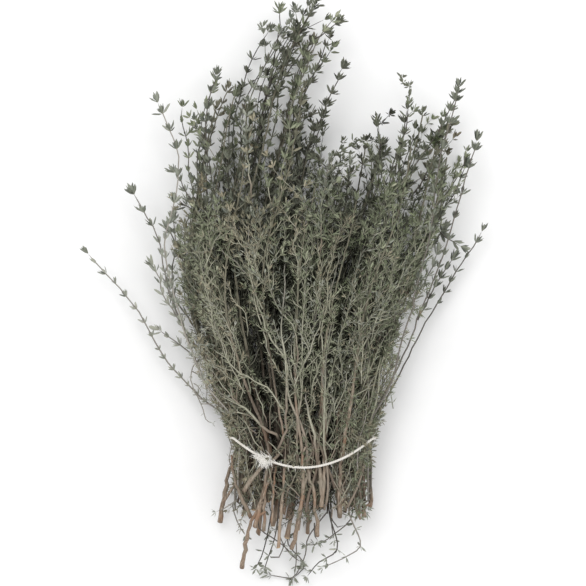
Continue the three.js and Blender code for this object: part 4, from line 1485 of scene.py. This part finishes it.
# ---- Needle twigs ----
# Many short dark twigs, thick with needles, which lie over the stems at both sides of the string and up both
# edges of the bundle. In places they hide the string. They broke off the sprigs and are one piece here.

# Where they lie: [x, distance from the tie, half width, half length, level in the pile, how many]
NEEDLE_PATCHES = [
    [26, 6, 8, 26, 1.0, 120], [32, 2, 3, 22, 0.85, 50], [-33, 2, 5, 24, 0.97, 60],
    [-3, -4, 5, 16, 1.0, 30], [-46, 46, 7, 30, 0.9, 80], [43, 44, 6, 30, 0.9, 80],
    [35, 14, 3, 20, 0.6, 30], [-38, 18, 4, 16, 0.75, 40], [21, 30, 4, 14, 0.98, 20],
    [-3, 26, 3, 14, 0.97, 20], [-56, 84, 5, 26, 0.8, 40], [54, 86, 6, 26, 0.85, 40],
    [-35, 8, 2.5, 9, 0.9, 26], [34, 8, 2.5, 9, 0.9, 26], [-2, -23, 20, 9, 0.9, 50],
    [24, -21, 8, 9, 0.88, 28], [-24, -20, 7, 8, 0.88, 20],
]
NEEDLE_SEED = 2600
NEEDLE_TWIG = [5, 15]
NEEDLE_OVER_PILE = 0.8
NEEDLE_EDGE = 1.06

foliage = Foliage(NEEDLE_SEED)
dice = foliage.dice
for x, y, half_width, half_length, level, count in NEEDLE_PATCHES:
    for _ in range(count):
        place = np.array([x, y]) + np.clip(dice.normal(0, 0.5, 2), -1, 1) * [half_width, half_length]
        across = float(np.clip(across_at(*place), -1, 1))
        height = lie(across, level * dice.uniform(0.92, 1.06), place[1:])[0, 2] + NEEDLE_OVER_PILE
        heading = np.array([0.5 * across + dice.normal(0, 0.35), dice.choice([1, 1, 1, -0.6]), 0])
        points = twig_points(dice, np.array([*place, height]), heading, dice.uniform(*NEEDLE_TWIG), 0.3)
        if abs(across_at(*points[-1, :2])) > NEEDLE_EDGE:
            continue
        foliage.new_shoot(points[0])
        foliage.add_rod(points, (0.3, 0.18), 3, -0.1, woody=dice.random() < 0.5)
        grow_leaves(foliage, points, 0.5, 1.05, 6, gap=0.5, tone=-0.1)
foliage.finish("needle_twigs")

# ---- Outer shoots ----
# Leafy shoots that stand out from the sides and from the two tops by themselves, with full whorls of larger
# leaves well apart. Each is part of the sprig beside it, and they are one piece here.

# Each shoot's line, as [x, distance from the tie, height].
OUTER_SHOOTS = [
    [[-8, 118, 30], [-2, 145, 32], [8, 172, 33], [21, 202, 32]],
    [[-6, 120, 24], [0, 142, 26], [7, 165, 27], [13, 183, 26]],
    [[-30, 140, 30], [-20, 175, 30], [0, 210, 28], [19, 226, 26]],
    [[-26, 150, 36], [-19, 185, 36], [-14, 210, 33], [-12, 232, 30]],
    [[-50, 120, 38], [-50, 150, 36], [-50, 178, 33], [-45, 198, 30]],
    [[30, 120, 40], [36, 142, 40], [40, 158, 38], [38, 172, 36]],
    [[50, 130, 38], [58, 150, 38], [70, 168, 36], [80, 188, 33]],
    [[44, 128, 34], [48, 150, 36], [52, 166, 34], [54, 180, 32]],
    [[-50, 116, 32], [-60, 135, 33], [-63, 141.5, 33], [-67, 147, 32]],
    [[-50, 117, 24], [-59, 128, 25], [-64, 132, 25], [-66, 134, 24]],
    [[-58, 68, 22], [-66, 80, 23], [-68, 88, 24], [-68, 101, 25], [-66.5, 110, 25], [-68, 124, 24]],
    [[-66.5, 108, 25], [-68, 113, 25], [-69.5, 116, 26], [-70.5, 118, 26]],
    [[-56, 76, 30], [-61, 92, 31], [-62, 100, 31], [-65, 107, 30]],
    [[-50, 84, 26], [-56, 94, 27], [-60, 101, 27], [-64, 106.6, 27]],
    [[-50, 48, 26], [-63, 68, 27], [-70, 78, 27], [-74, 86, 27], [-75, 92, 27], [-78.5, 98.5, 26]],
    [[-64, 70, 27], [-67, 77, 27], [-69, 84, 28], [-70, 88, 28]],
    [[-56, 50, 18], [-63, 56, 19], [-72, 62, 19], [-76, 65, 18]],
    [[48, 96, 30], [59, 109, 31], [69, 120, 31], [74, 129, 31], [80, 139, 30], [85, 151, 29]],
    [[58, 112, 22], [68, 118, 22], [76, 112, 22], [83, 108.5, 21]],
    [[60, 70, 22], [65, 80, 22], [71, 91, 22], [79, 103, 21]],
    [[42, 62, 30], [50, 72, 31], [57, 80, 32], [62, 88, 32], [66, 95, 32], [70, 106, 31]],
    [[48, 82, 36], [56, 90, 36], [60, 95, 36], [62.5, 101.5, 35]],
    [[56, 134, 34], [64, 146, 35], [69, 156, 35], [77, 171, 33]],
    [[36, 44, 24], [40, 52, 25], [44, 60, 26], [48, 66, 26]],
    [[60, 98, 20], [64, 106, 20], [70, 112, 20], [74, 118, 19]],
]
# Their leaves are larger and further apart than others by these shares, by distance from the tie.
OUTER_LEAF = [[0, 1.5], [100, 1.5], [140, 1.15], [240, 1.05]]
OUTER_GAP = [[0, 1.7], [110, 1.5], [150, 1.1], [240, 1]]
OUTER_SEED = 2900
BARE_FOOT = 5
GREY_FROM = 0.95

foliage = Foliage(OUTER_SEED, fullness=4, bark=DRY_TWIG)
for points in OUTER_SHOOTS:
    line = smooth_line(points, 4)
    line[1:-1] += foliage.dice.normal(0, 0.25, (len(line) - 2, 3))
    foliage.new_shoot(line[-1])
    if abs(across_at(*line[-1, :2])) > GREY_FROM:
        foliage.hue = GREY
    foliage.add_rod(line, (0.42, 0.26), 5, -0.1)
    size, gap = (float(along(table, line[-1, 1])) for table in (OUTER_LEAF, OUTER_GAP))
    grow_leaves(foliage, line, BARE_FOOT, size, 11, opening=1.05, gap=gap)
foliage.finish("outer_shoots_and_leaves")

# ---- Curled twigs ----
# Bare dry twigs, thin and grey, that curl and cross in the open at both sides just above the string. They are
# the remains of side shoots of the strays and the outer sprigs, and are one piece here.

CURLED_TWIGS = [
    [[32, 27, 24], [34.8, 26.5, 25], [38.5, 25.5, 25], [40.6, 23.4, 25], [38.5, 19.2, 25], [35.4, 15.1, 24],
     [34.3, 13, 23], [31.7, 10.9, 22]],
    [[34.8, 28.6, 22], [37.4, 29.6, 22], [40.6, 32.8, 22], [42.6, 36.4, 22], [45.8, 41, 21]],
    [[35.4, 27.6, 26], [39, 26.5, 27], [42, 28.6, 27]],
    [[19.2, 38, 46], [24.4, 40, 44], [29.6, 40, 41], [33.8, 38, 38], [35.9, 32.8, 34], [35.4, 28.6, 30]],
    [[28, -7.8, 39], [28.6, 7.8, 40], [31.2, 15.6, 39], [32.8, 23.4, 38], [33.8, 31.2, 38], [32.8, 39, 38]],
    [[34, 6, 28], [35.8, 12, 28], [34.6, 18, 28], [36.5, 24, 28], [38.4, 30, 28]],
    [[-54.6, 49.4, 20], [-57.7, 45.2, 20], [-58.8, 40, 20], [-57.7, 34.8, 20], [-55.1, 29.6, 20],
     [-52, 28, 20], [-49.9, 28.6, 20], [-48.4, 27.6, 20], [-44.7, 26.5, 20]],
    [[-58.2, 43.2, 20], [-53.6, 40.6, 21], [-50.4, 36.4, 21], [-50.4, 28.6, 20]],
    [[-57.2, 33.8, 16], [-53.6, 26, 16], [-52, 20.8, 15], [-51, 17.7, 14], [-47.3, 15.6, 13]],
    [[-53.6, 26, 17], [-49.4, 26, 18], [-44.7, 26.5, 19], [-42, 23.4, 20]],
    [[-57.2, 36.9, 20], [-54.6, 34.8, 20], [-53, 31.7, 20]],
    [[-36, -10, 27], [-38.5, -3, 27], [-37.5, 4, 27], [-39.5, 11, 26]],
]
CURLED_TWIG_RADIUS = [0.34, 0.24]
CURLED_SEED = 2940

foliage = Foliage(CURLED_SEED, hue=GREY, bark=DRY_TWIG)
for points in CURLED_TWIGS:
    line = smooth_line(points, 2.2)
    line[1:-1] += foliage.dice.normal(0, 0.1, (len(line) - 2, 3))
    foliage.add_rod(line, CURLED_TWIG_RADIUS, 5, 0.1)
    grow_leaves(foliage, line, 6, 0.8, 3, gap=2)
foliage.finish("curled_twigs")

# ---- Crossed stem ends ----
# Woody ends of thinner stems, which lie across the top and the left side of the cut end. Most are brown or
# orange-brown, are cut or broken off, and lose themselves among the stems under the string.

# Each end: its radius, and its line from the cut as [x, distance from the tie, height].
STEM_ENDS = [
    (1.3, [[-43.8, -37, 9], [-41.5, -22, 12], [-38, -8, 16], [-33, 6, 22]]),
    (1.15, [[-30.5, -18, 41], [-28, -13.7, 41.5], [-22, -6.5, 41.5], [-14.6, -1, 40.5], [-8, 6, 37]]),
    (1.1, [[-27, -32.5, 33], [-28.5, -28, 34], [-33, -19.5, 35], [-36, -11, 33], [-37, 0, 28]]),
    (1.2, [[-32, -60, 18], [-30, -47.5, 26], [-28, -38, 32], [-23.5, -27, 38], [-18, -14, 40], [-14, 0, 36]]),
    (0.95, [[-20.4, -39, 35], [-20, -30, 37], [-19.5, -22, 38.5], [-18, -8, 36]]),
    (0.8, [[-16, -36, 39], [-15.7, -27, 40.5], [-15.3, -18, 41.5], [-14, -4, 38]]),
    (1.25, [[-6, -49, 28], [-3, -36, 36], [-1.5, -28, 40], [0, -18, 42], [3, -6, 40], [5, 4, 35]]),
    (1.05, [[7.5, -42, 32], [7, -32, 38], [5.6, -20, 41.5], [2.5, -6, 41], [0, 6, 36]]),
    (1.15, [[9.5, -20, 42], [8.5, -9, 41.5], [6.5, 5, 41], [6, 16, 38]]),
    (0.8, [[31.6, -33, 22], [31.8, -25, 23.5], [31.8, -14, 24], [30, 0, 22]]),
    (1.1, [[35.2, -28, 16], [36, -22, 17], [35, -16, 18], [31, -8, 19]]),
    (0.7, [[30, -33.5, 28], [26.4, -26.7, 30], [24, -16, 31], [23, -2, 30]]),
    (0.7, [[-42, -26, 22], [-37, -18, 25], [-33, -10, 27], [-30, 2, 27]]),
]
ENDS_SEED = 2950
ENDS_TIP_SHARE = 0.5
ENDS_UNEVENNESS = 0.12

dice = np.random.default_rng(ENDS_SEED)
stems = []
for radius, points in STEM_ENDS:
    line = smooth_line(points, 3)
    line[1:] += dice.normal(0, 0.3, (len(line) - 1, 3))
    taper = np.linspace(1, ENDS_TIP_SHARE, len(line))
    stems.append((line, radius * taper * dice.normal(1, ENDS_UNEVENNESS, len(line))))
ends = round_lengths("crossed_stem_ends", stems, STEM_SIDES, [BARK, CUT_WOOD])
feet = [placed(points[0]) for _, points in STEM_ENDS]
for face in ends.data.polygons:
    cut = len(face.vertices) > 4
    if cut and min(np.linalg.norm(np.array(face.center) - foot) for foot in feet) < MM:
        face.material_index = 1
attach(ends, "root")

# ---- Stray sprigs ----
# Six thinner sprigs that stand apart at the sides, bare below and with small whorls of leaves above. Each is
# a thin brown-grey twig, about 1 mm thick at its foot, and follows the line of its solid.

STRAYS = {
    "stray_left_low": [
        [-35.5, -30, 17], [-35.5, -12, 17], [-35.8, 15, 17], [-53, 29, 16], [-73, 52, 13.5],
        [-91, 82, 15], [-112, 105, 17],
    ],
    "stray_left_middle": [
        [-35.3, -24, 25], [-35.3, -12, 25], [-35.5, 15, 25], [-54, 42, 27], [-71, 90, 30],
        [-77, 118, 32], [-87, 138, 33],
    ],
    "stray_left_high": [
        [-33.8, -20, 33], [-33.8, -12, 33], [-34.5, 15, 34], [-54, 42, 40], [-72, 105, 45],
        [-66, 150, 42], [-77, 184, 37],
    ],
    "stray_right_low": [
        [35.5, -26, 16], [35.5, -12, 16], [36, 15, 16], [46, 32, 14], [60, 60, 12],
        [76, 90, 14], [93, 117, 17],
    ],
    "stray_right_middle": [
        [35.5, -18, 25], [35.5, -12, 25], [36, 15, 25], [47, 40, 27], [61, 72, 29],
        [79, 118, 33], [92, 163, 33],
    ],
    "stray_right_high": [
        [33.8, -24, 34], [33.8, -12, 34], [34.5, 15, 34], [47, 40, 42], [65, 106, 47],
        [73, 150, 43], [82, 190, 36],
    ],
}


# Each is bare for this far from its foot.
STRAY_BARE = {"left": 64, "right": 112}
STRAY_SEED = 3000

for n, (name, points) in enumerate(STRAYS.items()):
    foliage = Foliage(STRAY_SEED + n, 0.02, fullness=4, hue=GREY, bark=DRY_TWIG)
    line = smooth_line(points, 5)
    line += wobble(foliage.dice, line[:, 1], 0.35) * np.clip((line[:, 1:2] - 15) / 45, 0.4, 1)
    foliage.add_rod(line, (0.48, 0.28), 6, -0.04)
    grow_leaves(foliage, line, STRAY_BARE[name.split("_")[1]], 1.25, 10, gap=1.8)
    foliage.finish(name + "_twig_and_leaves", name)

# ---- Loose twigs ----
# Thin grey twigs that hang past the cut ends, with star-like whorls of leaves near their tips. Four have
# solids of their own, and the thinnest ones are one piece.

LOOSE = {
    "loose_twig_1": [[-2, -12, 8], [-5, -32, 8.5], [-8, -48, 7], [1, -60, 5], [-6, -68, 3]],
    "loose_twig_2": [[12, -10, 23], [14, -32, 23], [18, -50, 20], [8, -58, 14], [2, -66, 9]],
    "loose_twig_3": [[-14, -12, 23], [-17, -34, 24], [-21, -52, 20], [-25, -61, 15]],
    "loose_twig_4": [[22, -8, 34], [24, -30, 35], [30, -47, 29], [22, -54, 23], [10, -60, 19]],
}
THINNEST = [
    [[-37, -26, 20], [-36.7, -28.6, 20], [-34, -37, 17], [-30, -44, 14]],
    [[-32, -22, 26], [-39, -27, 25], [-43, -29.5, 23], [-46, -30.5, 22]],
    [[-23, -30, 30], [-23, -38, 28], [-16, -43.6, 24], [-9.4, -49, 19], [-3.5, -56, 13], [-0.5, -58, 11]],
    [[-12, -20, 37], [-13.3, -34, 34], [-14.6, -43, 28], [-18, -54, 18], [-20.7, -63, 9]],
    [[-13, -32, 34], [-13.3, -38, 31], [-10, -47.5, 24], [-5.5, -54, 17], [-1, -57.5, 12]],
    [[12.7, -30, 26], [6.2, -38.5, 22], [2.3, -45.5, 17], [1.7, -52, 13], [-0.3, -58.5, 9], [-5.5, -67, 4],
     [-12, -66.5, 3], [-19, -65.3, 3]],
    [[26, -26, 24], [25.7, -32.5, 22], [23, -37, 20], [16.6, -42.3, 17], [9.5, -47.5, 14], [1, -49, 12]],
    [[14.7, -26, 30], [14.7, -32.5, 27], [15.3, -39.7, 22], [16.6, -46, 18]],
    [[14, -30, 24], [16, -36, 21], [19, -39, 18], [23, -37.5, 17]],
    [[-4, -40, 20], [-3.4, -50, 12], [-3.5, -58, 7], [-4.6, -67, 3]],
    [[6, -36, 24], [6.2, -43, 20], [7.5, -45, 18], [8.2, -46.5, 17]],
    [[-17, -55, 13], [-14, -55.5, 13], [-11.5, -54, 14], [-10.7, -50, 16], [-8, -44, 20]],
]


LOOSE_SEED = 4000
THINNEST_SEED = 4100
LOOSE_RADIUS = 0.5
THINNEST_RADIUS = 0.38
LOOSE_TIP_RADIUS = 0.26


def grow_loose_twig(foliage, points, radius, bare):
    """A twig along a line, bare for a length from its foot."""
    line = smooth_line(points, 4)
    foliage.add_rod(line, (radius, LOOSE_TIP_RADIUS), 5)
    grow_leaves(foliage, line, bare, 1.2, 6, opening=1.15, gap=2.3)


for n, (name, points) in enumerate(LOOSE.items()):
    foliage = Foliage(LOOSE_SEED + n, fullness=2, hue=GREY, bark=DRY_TWIG)
    grow_loose_twig(foliage, points, LOOSE_RADIUS, 30)
    foliage.finish(name + "_twig_and_leaves", name)

foliage = Foliage(THINNEST_SEED, fullness=2, hue=GREY, bark=DRY_TWIG)
for points in THINNEST:
    grow_loose_twig(foliage, points, THINNEST_RADIUS, 20)
foliage.finish("thinnest_loose_twigs")

# ---- String ----
# One turn of white cotton string of three twisted plies, pulled tight round the stems. It touches the
# outermost stems and runs straight between them, and its front and back sag towards the cut ends.

STRING_RADIUS = 0.9
STRING_GAP = 0.9
# The string's sides are this far past the tie, and its front and back sag from there by these amounts.
STRING_SIDE_PLACE = 9
STRING_BOW_TOP = 14.5
STRING_BOW_BOTTOM = 4
STRING_HALF_WIDTH = 36
STRAY_ROOM = 1.3
STRING_MIDDLE = float(along(PILE_HEIGHT, 0) / 2 + along(LYING_HEIGHT, 0))
SUPPORTS = 36
STRING_STEP = 0.4
SMOOTHINGS = 12


def sag(x, z):
    """The string's distance from the tie's place, by where it is round the bundle."""
    bow = STRING_BOW_TOP if z > STRING_MIDDLE else STRING_BOW_BOTTOM
    return STRING_SIDE_PLACE - bow * (1 - min(1, (x / STRING_HALF_WIDTH) ** 2))


def touching_point(angle, y):
    """The string's centre at an angle about the bundle, on the stem that reaches furthest that way."""
    outward = np.array([math.cos(angle), math.sin(angle)])
    stems = [[*stem_line(sprig, np.array([y]))[0, [0, 2]], sprig.radius] for sprig in sprigs]
    stems = np.array(stems + [[points[1][0], points[1][2], STRAY_ROOM] for points in STRAYS.values()])
    reach = (stems[:, :2] - [0, STRING_MIDDLE]) @ outward + stems[:, 2]
    x, z, radius = stems[reach.argmax()]
    return np.array([x, z]) + (radius + STRING_GAP + STRING_RADIUS) * outward


def string_point(angle):
    """The string's x and height at an angle about the bundle, found in a few rounds, as it sags."""
    x, z = touching_point(angle, STRING_SIDE_PLACE)
    for _ in range(4):
        x, z = touching_point(angle, sag(x, z))
    return x, z


def string_route(spacing):
    """The string's centre line as an even closed loop of points."""
    supports = np.array([string_point(2 * math.pi * k / SUPPORTS) for k in range(SUPPORTS + 1)])
    reach = np.concatenate([[0], np.cumsum(np.linalg.norm(np.diff(supports, axis=0), axis=1))])
    places = np.linspace(0, reach[-1], round(reach[-1] / spacing), endpoint=False)
    x, z = (np.interp(places, reach, supports[:, axis]) for axis in range(2))
    route = np.stack([x, [sag(*point) for point in zip(x, z)], z], 1)
    for _ in range(SMOOTHINGS):
        route = (np.roll(route, 1, 0) + 2 * route + np.roll(route, -1, 0)) / 4
    return route


def cotton_material(name, pale, shade):
    """Soft off-white cotton, with painted shade in its hollows, a little darker and warmer there."""
    cotton, mix, shader = new_material(name, 0.95, 0.15)
    here = mix.node("ShaderNodeTexCoord", output=3)
    lint = mix.noise(here, 2600.0, 3.0, 0.7)
    soiled = mix.noise(here, 160.0, 2.0)
    # Painted shade: the low places of the fuzz are darker and warmer.
    white = lint.ramp([(0.3, shade), (0.6, pale)])
    mix.feed(shader.inputs["Base Color"], white.mix(colour(186, 176, 156), soiled.step(0.5, 0.75) * 0.35))
    fuzz = mix.node("ShaderNodeBump", Strength=0.4, Distance=0.1 * MM, Height=lint)
    mix.feed(shader.inputs["Normal"], fuzz)
    return cotton


COTTON = cotton_material("cotton_string", colour(236, 233, 227), colour(204, 199, 190))
PLIES = 3
PLY_RADIUS = 0.34
PLY_OFFSET = 0.33
TWIST_PITCH = 3.8


def closed_ply(turn_offset, route):
    """One ply of the string, as the points of its helix."""
    way = unit(np.roll(route, -1, 0) - np.roll(route, 1, 0))
    sideways = unit(np.cross(way, [0, 1, 0]))
    along_it = np.cross(sideways, way)
    length = np.linalg.norm(np.roll(route, -1, 0) - route, axis=1).sum()
    turns = round(length / TWIST_PITCH)
    turn = (2 * math.pi * (turns * np.arange(len(route)) / len(route) + turn_offset))[:, None]
    return route + PLY_OFFSET * (np.cos(turn) * sideways + np.sin(turn) * along_it)


def cord_piece(name, cords, sides, material, closed=False):
    """Soft cords as one smooth piece of the string, each its points and radius."""
    piece = round_lengths(name, cords, sides, [material], closed)
    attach(piece, "root")
    return piece


route = string_route(STRING_STEP)
helices = [(closed_ply(k / PLIES, route), PLY_RADIUS) for k in range(PLIES)]
plies = cord_piece("string_plies", helices, 6, COTTON, closed=True)
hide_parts("tie_string")

# ---- Knot and fuzz ----
# The string's two ends, knotted over the front and frayed into a white tuft of cotton fibres that points away
# to the lower left, with loose fibres along the turn of string.

FIBRE = cotton_material("cotton_fibres", colour(252, 250, 246), colour(232, 229, 221))
# The knot's place on the turn of string, as an angle about the bundle, and its wraps of cord.
KNOT_TURN = 1.88
KNOT_HALF_WIDTH = 1.8
WRAPS = 3
WRAP_RADIUS = 1.35
KNOT_CORD_RADIUS = 0.6
# The tuft's ends, as [number of fibres, turn about +Z, spread of it, longest].
ENDS = [[240, -1.8, 0.26, 4.6], [180, 2.75, 0.12, 6.6], [110, -2.4, 0.6, 3.0]]
ENDS_OVER_KNOT = 1.3
LOOSE_FIBRES = 160
LOOSE_FIBRE_LENGTH = [1, 2.6]
FIBRE_POINTS = 6
FIBRE_RADIUS = [0.12, 0.06]
FIBRE_WANDER = 0.13
KNOT_SEED = 5000

x, z = string_point(KNOT_TURN)
knot = np.array([x, sag(x, z), z])
dice = np.random.default_rng(KNOT_SEED)


def knot_wraps():
    """Three turns of cord round the string, and one that crosses over them."""
    turn = np.linspace(0, WRAPS * 2 * math.pi, 30 * WRAPS)
    sideways = np.linspace(-KNOT_HALF_WIDTH, KNOT_HALF_WIDTH, len(turn))
    wrap = np.stack([sideways, WRAP_RADIUS * np.cos(turn), WRAP_RADIUS * np.sin(turn)], 1)
    cross = np.linspace(0, 1, 30)
    over = np.stack([2.6 * cross - 1.3, 3.4 * cross - 1.7, 1.2 + 0.9 * np.sin(math.pi * cross)], 1)
    return [(knot + wrap, KNOT_CORD_RADIUS), (knot + over, KNOT_CORD_RADIUS)]


def fibre(start, way, length, dice):
    """A cotton fibre that wanders as it runs out from its start."""
    ways = way + np.cumsum(dice.normal(0, FIBRE_WANDER, (FIBRE_POINTS, 3)), axis=0)
    steps = unit(ways)[1:] * length / (FIBRE_POINTS - 1)
    points = start + np.vstack([np.zeros(3), np.cumsum(steps, axis=0)])
    return points, np.linspace(*FIBRE_RADIUS, FIBRE_POINTS)


cord_piece("string_knot", knot_wraps(), 8, COTTON)
fibres = []
for count, turn, fan, longest in ENDS:
    for _ in range(count):
        aim = dice.normal(turn, fan)
        way = np.array([math.cos(aim), math.sin(aim), dice.normal(-0.02, 0.13)])
        start = knot + dice.normal(0, [1.3, 0.6, 0.4]) + [0, 0, ENDS_OVER_KNOT]
        fibres.append(fibre(start, way, longest * dice.uniform(0.25, 1), dice))
for _ in range(LOOSE_FIBRES):
    start = route[dice.integers(len(route))]
    way = unit(dice.normal(0, 1, 3))
    fibres.append(fibre(start + 0.5 * way, way, dice.uniform(*LOOSE_FIBRE_LENGTH), dice))
cord_piece("string_fibres", fibres, 4, FIBRE)

# ---- Surface, light and camera ----
# A plain pale surface that the bundle lies on, soft studio light from above, and a camera that looks straight
# down from over its middle.

# The camera's view is this wide at the height of the bundle's middle.
FIELD = 304.72 * MM
MIDDLE_HEIGHT = 30 * MM
CAMERA_PLACE = np.array([-5.2, 84.2]) * MM
CAMERA_HEIGHT = 1.3
SENSOR = 36
PAPER_TONES = [0.9, 0.92]
STUDIO_LIGHT = 0.66

bpy.ops.object.select_all(action="DESELECT")
bpy.ops.mesh.primitive_plane_add(size=4)
surface = bpy.context.object
surface.name = "surface"
paper, mix, shader = new_material("pale_surface", 0.9, 0.1)
dark, light = ((tone, tone, tone, 1) for tone in PAPER_TONES)
cloudy = mix.noise(mix.node("ShaderNodeTexCoord", output=3), 40.0)
mix.feed(shader.inputs["Base Color"], cloudy.ramp([(0.3, dark), (0.7, light)]))
surface.data.materials.append(paper)

camera = bpy.data.objects.new("camera", bpy.data.cameras.new("camera"))
bpy.context.scene.collection.objects.link(camera)
camera.location = (*(TIE[:2] + CAMERA_PLACE), CAMERA_HEIGHT)
camera.data.sensor_width = SENSOR
camera.data.lens = SENSOR * (CAMERA_HEIGHT - MIDDLE_HEIGHT) / FIELD
bpy.context.scene.camera = camera


def soft_light(name, place, size, power):
    """A square lamp that faces the bundle."""
    lamp = bpy.data.objects.new(name, bpy.data.lights.new(name, "AREA"))
    bpy.context.scene.collection.objects.link(lamp)
    lamp.data.size = size
    lamp.data.energy = power
    lamp.location = place
    lamp.rotation_euler = (-lamp.location).to_track_quat("-Z", "Y").to_euler()


soft_light("key_light", (-0.28, 0.55, 1.8), 1.1, 18)
soft_light("fill_light", (0.8, -0.1, 1.5), 1.2, 6)
world = bpy.data.worlds.new("studio")
world.use_nodes = True
world.node_tree.nodes["Background"].inputs["Color"].default_value = (1, 1, 1, 1)
world.node_tree.nodes["Background"].inputs["Strength"].default_value = STUDIO_LIGHT
bpy.context.scene.world = world
bpy.context.scene.view_settings.view_transform = "Standard"

bpy.context.view_layer.update()
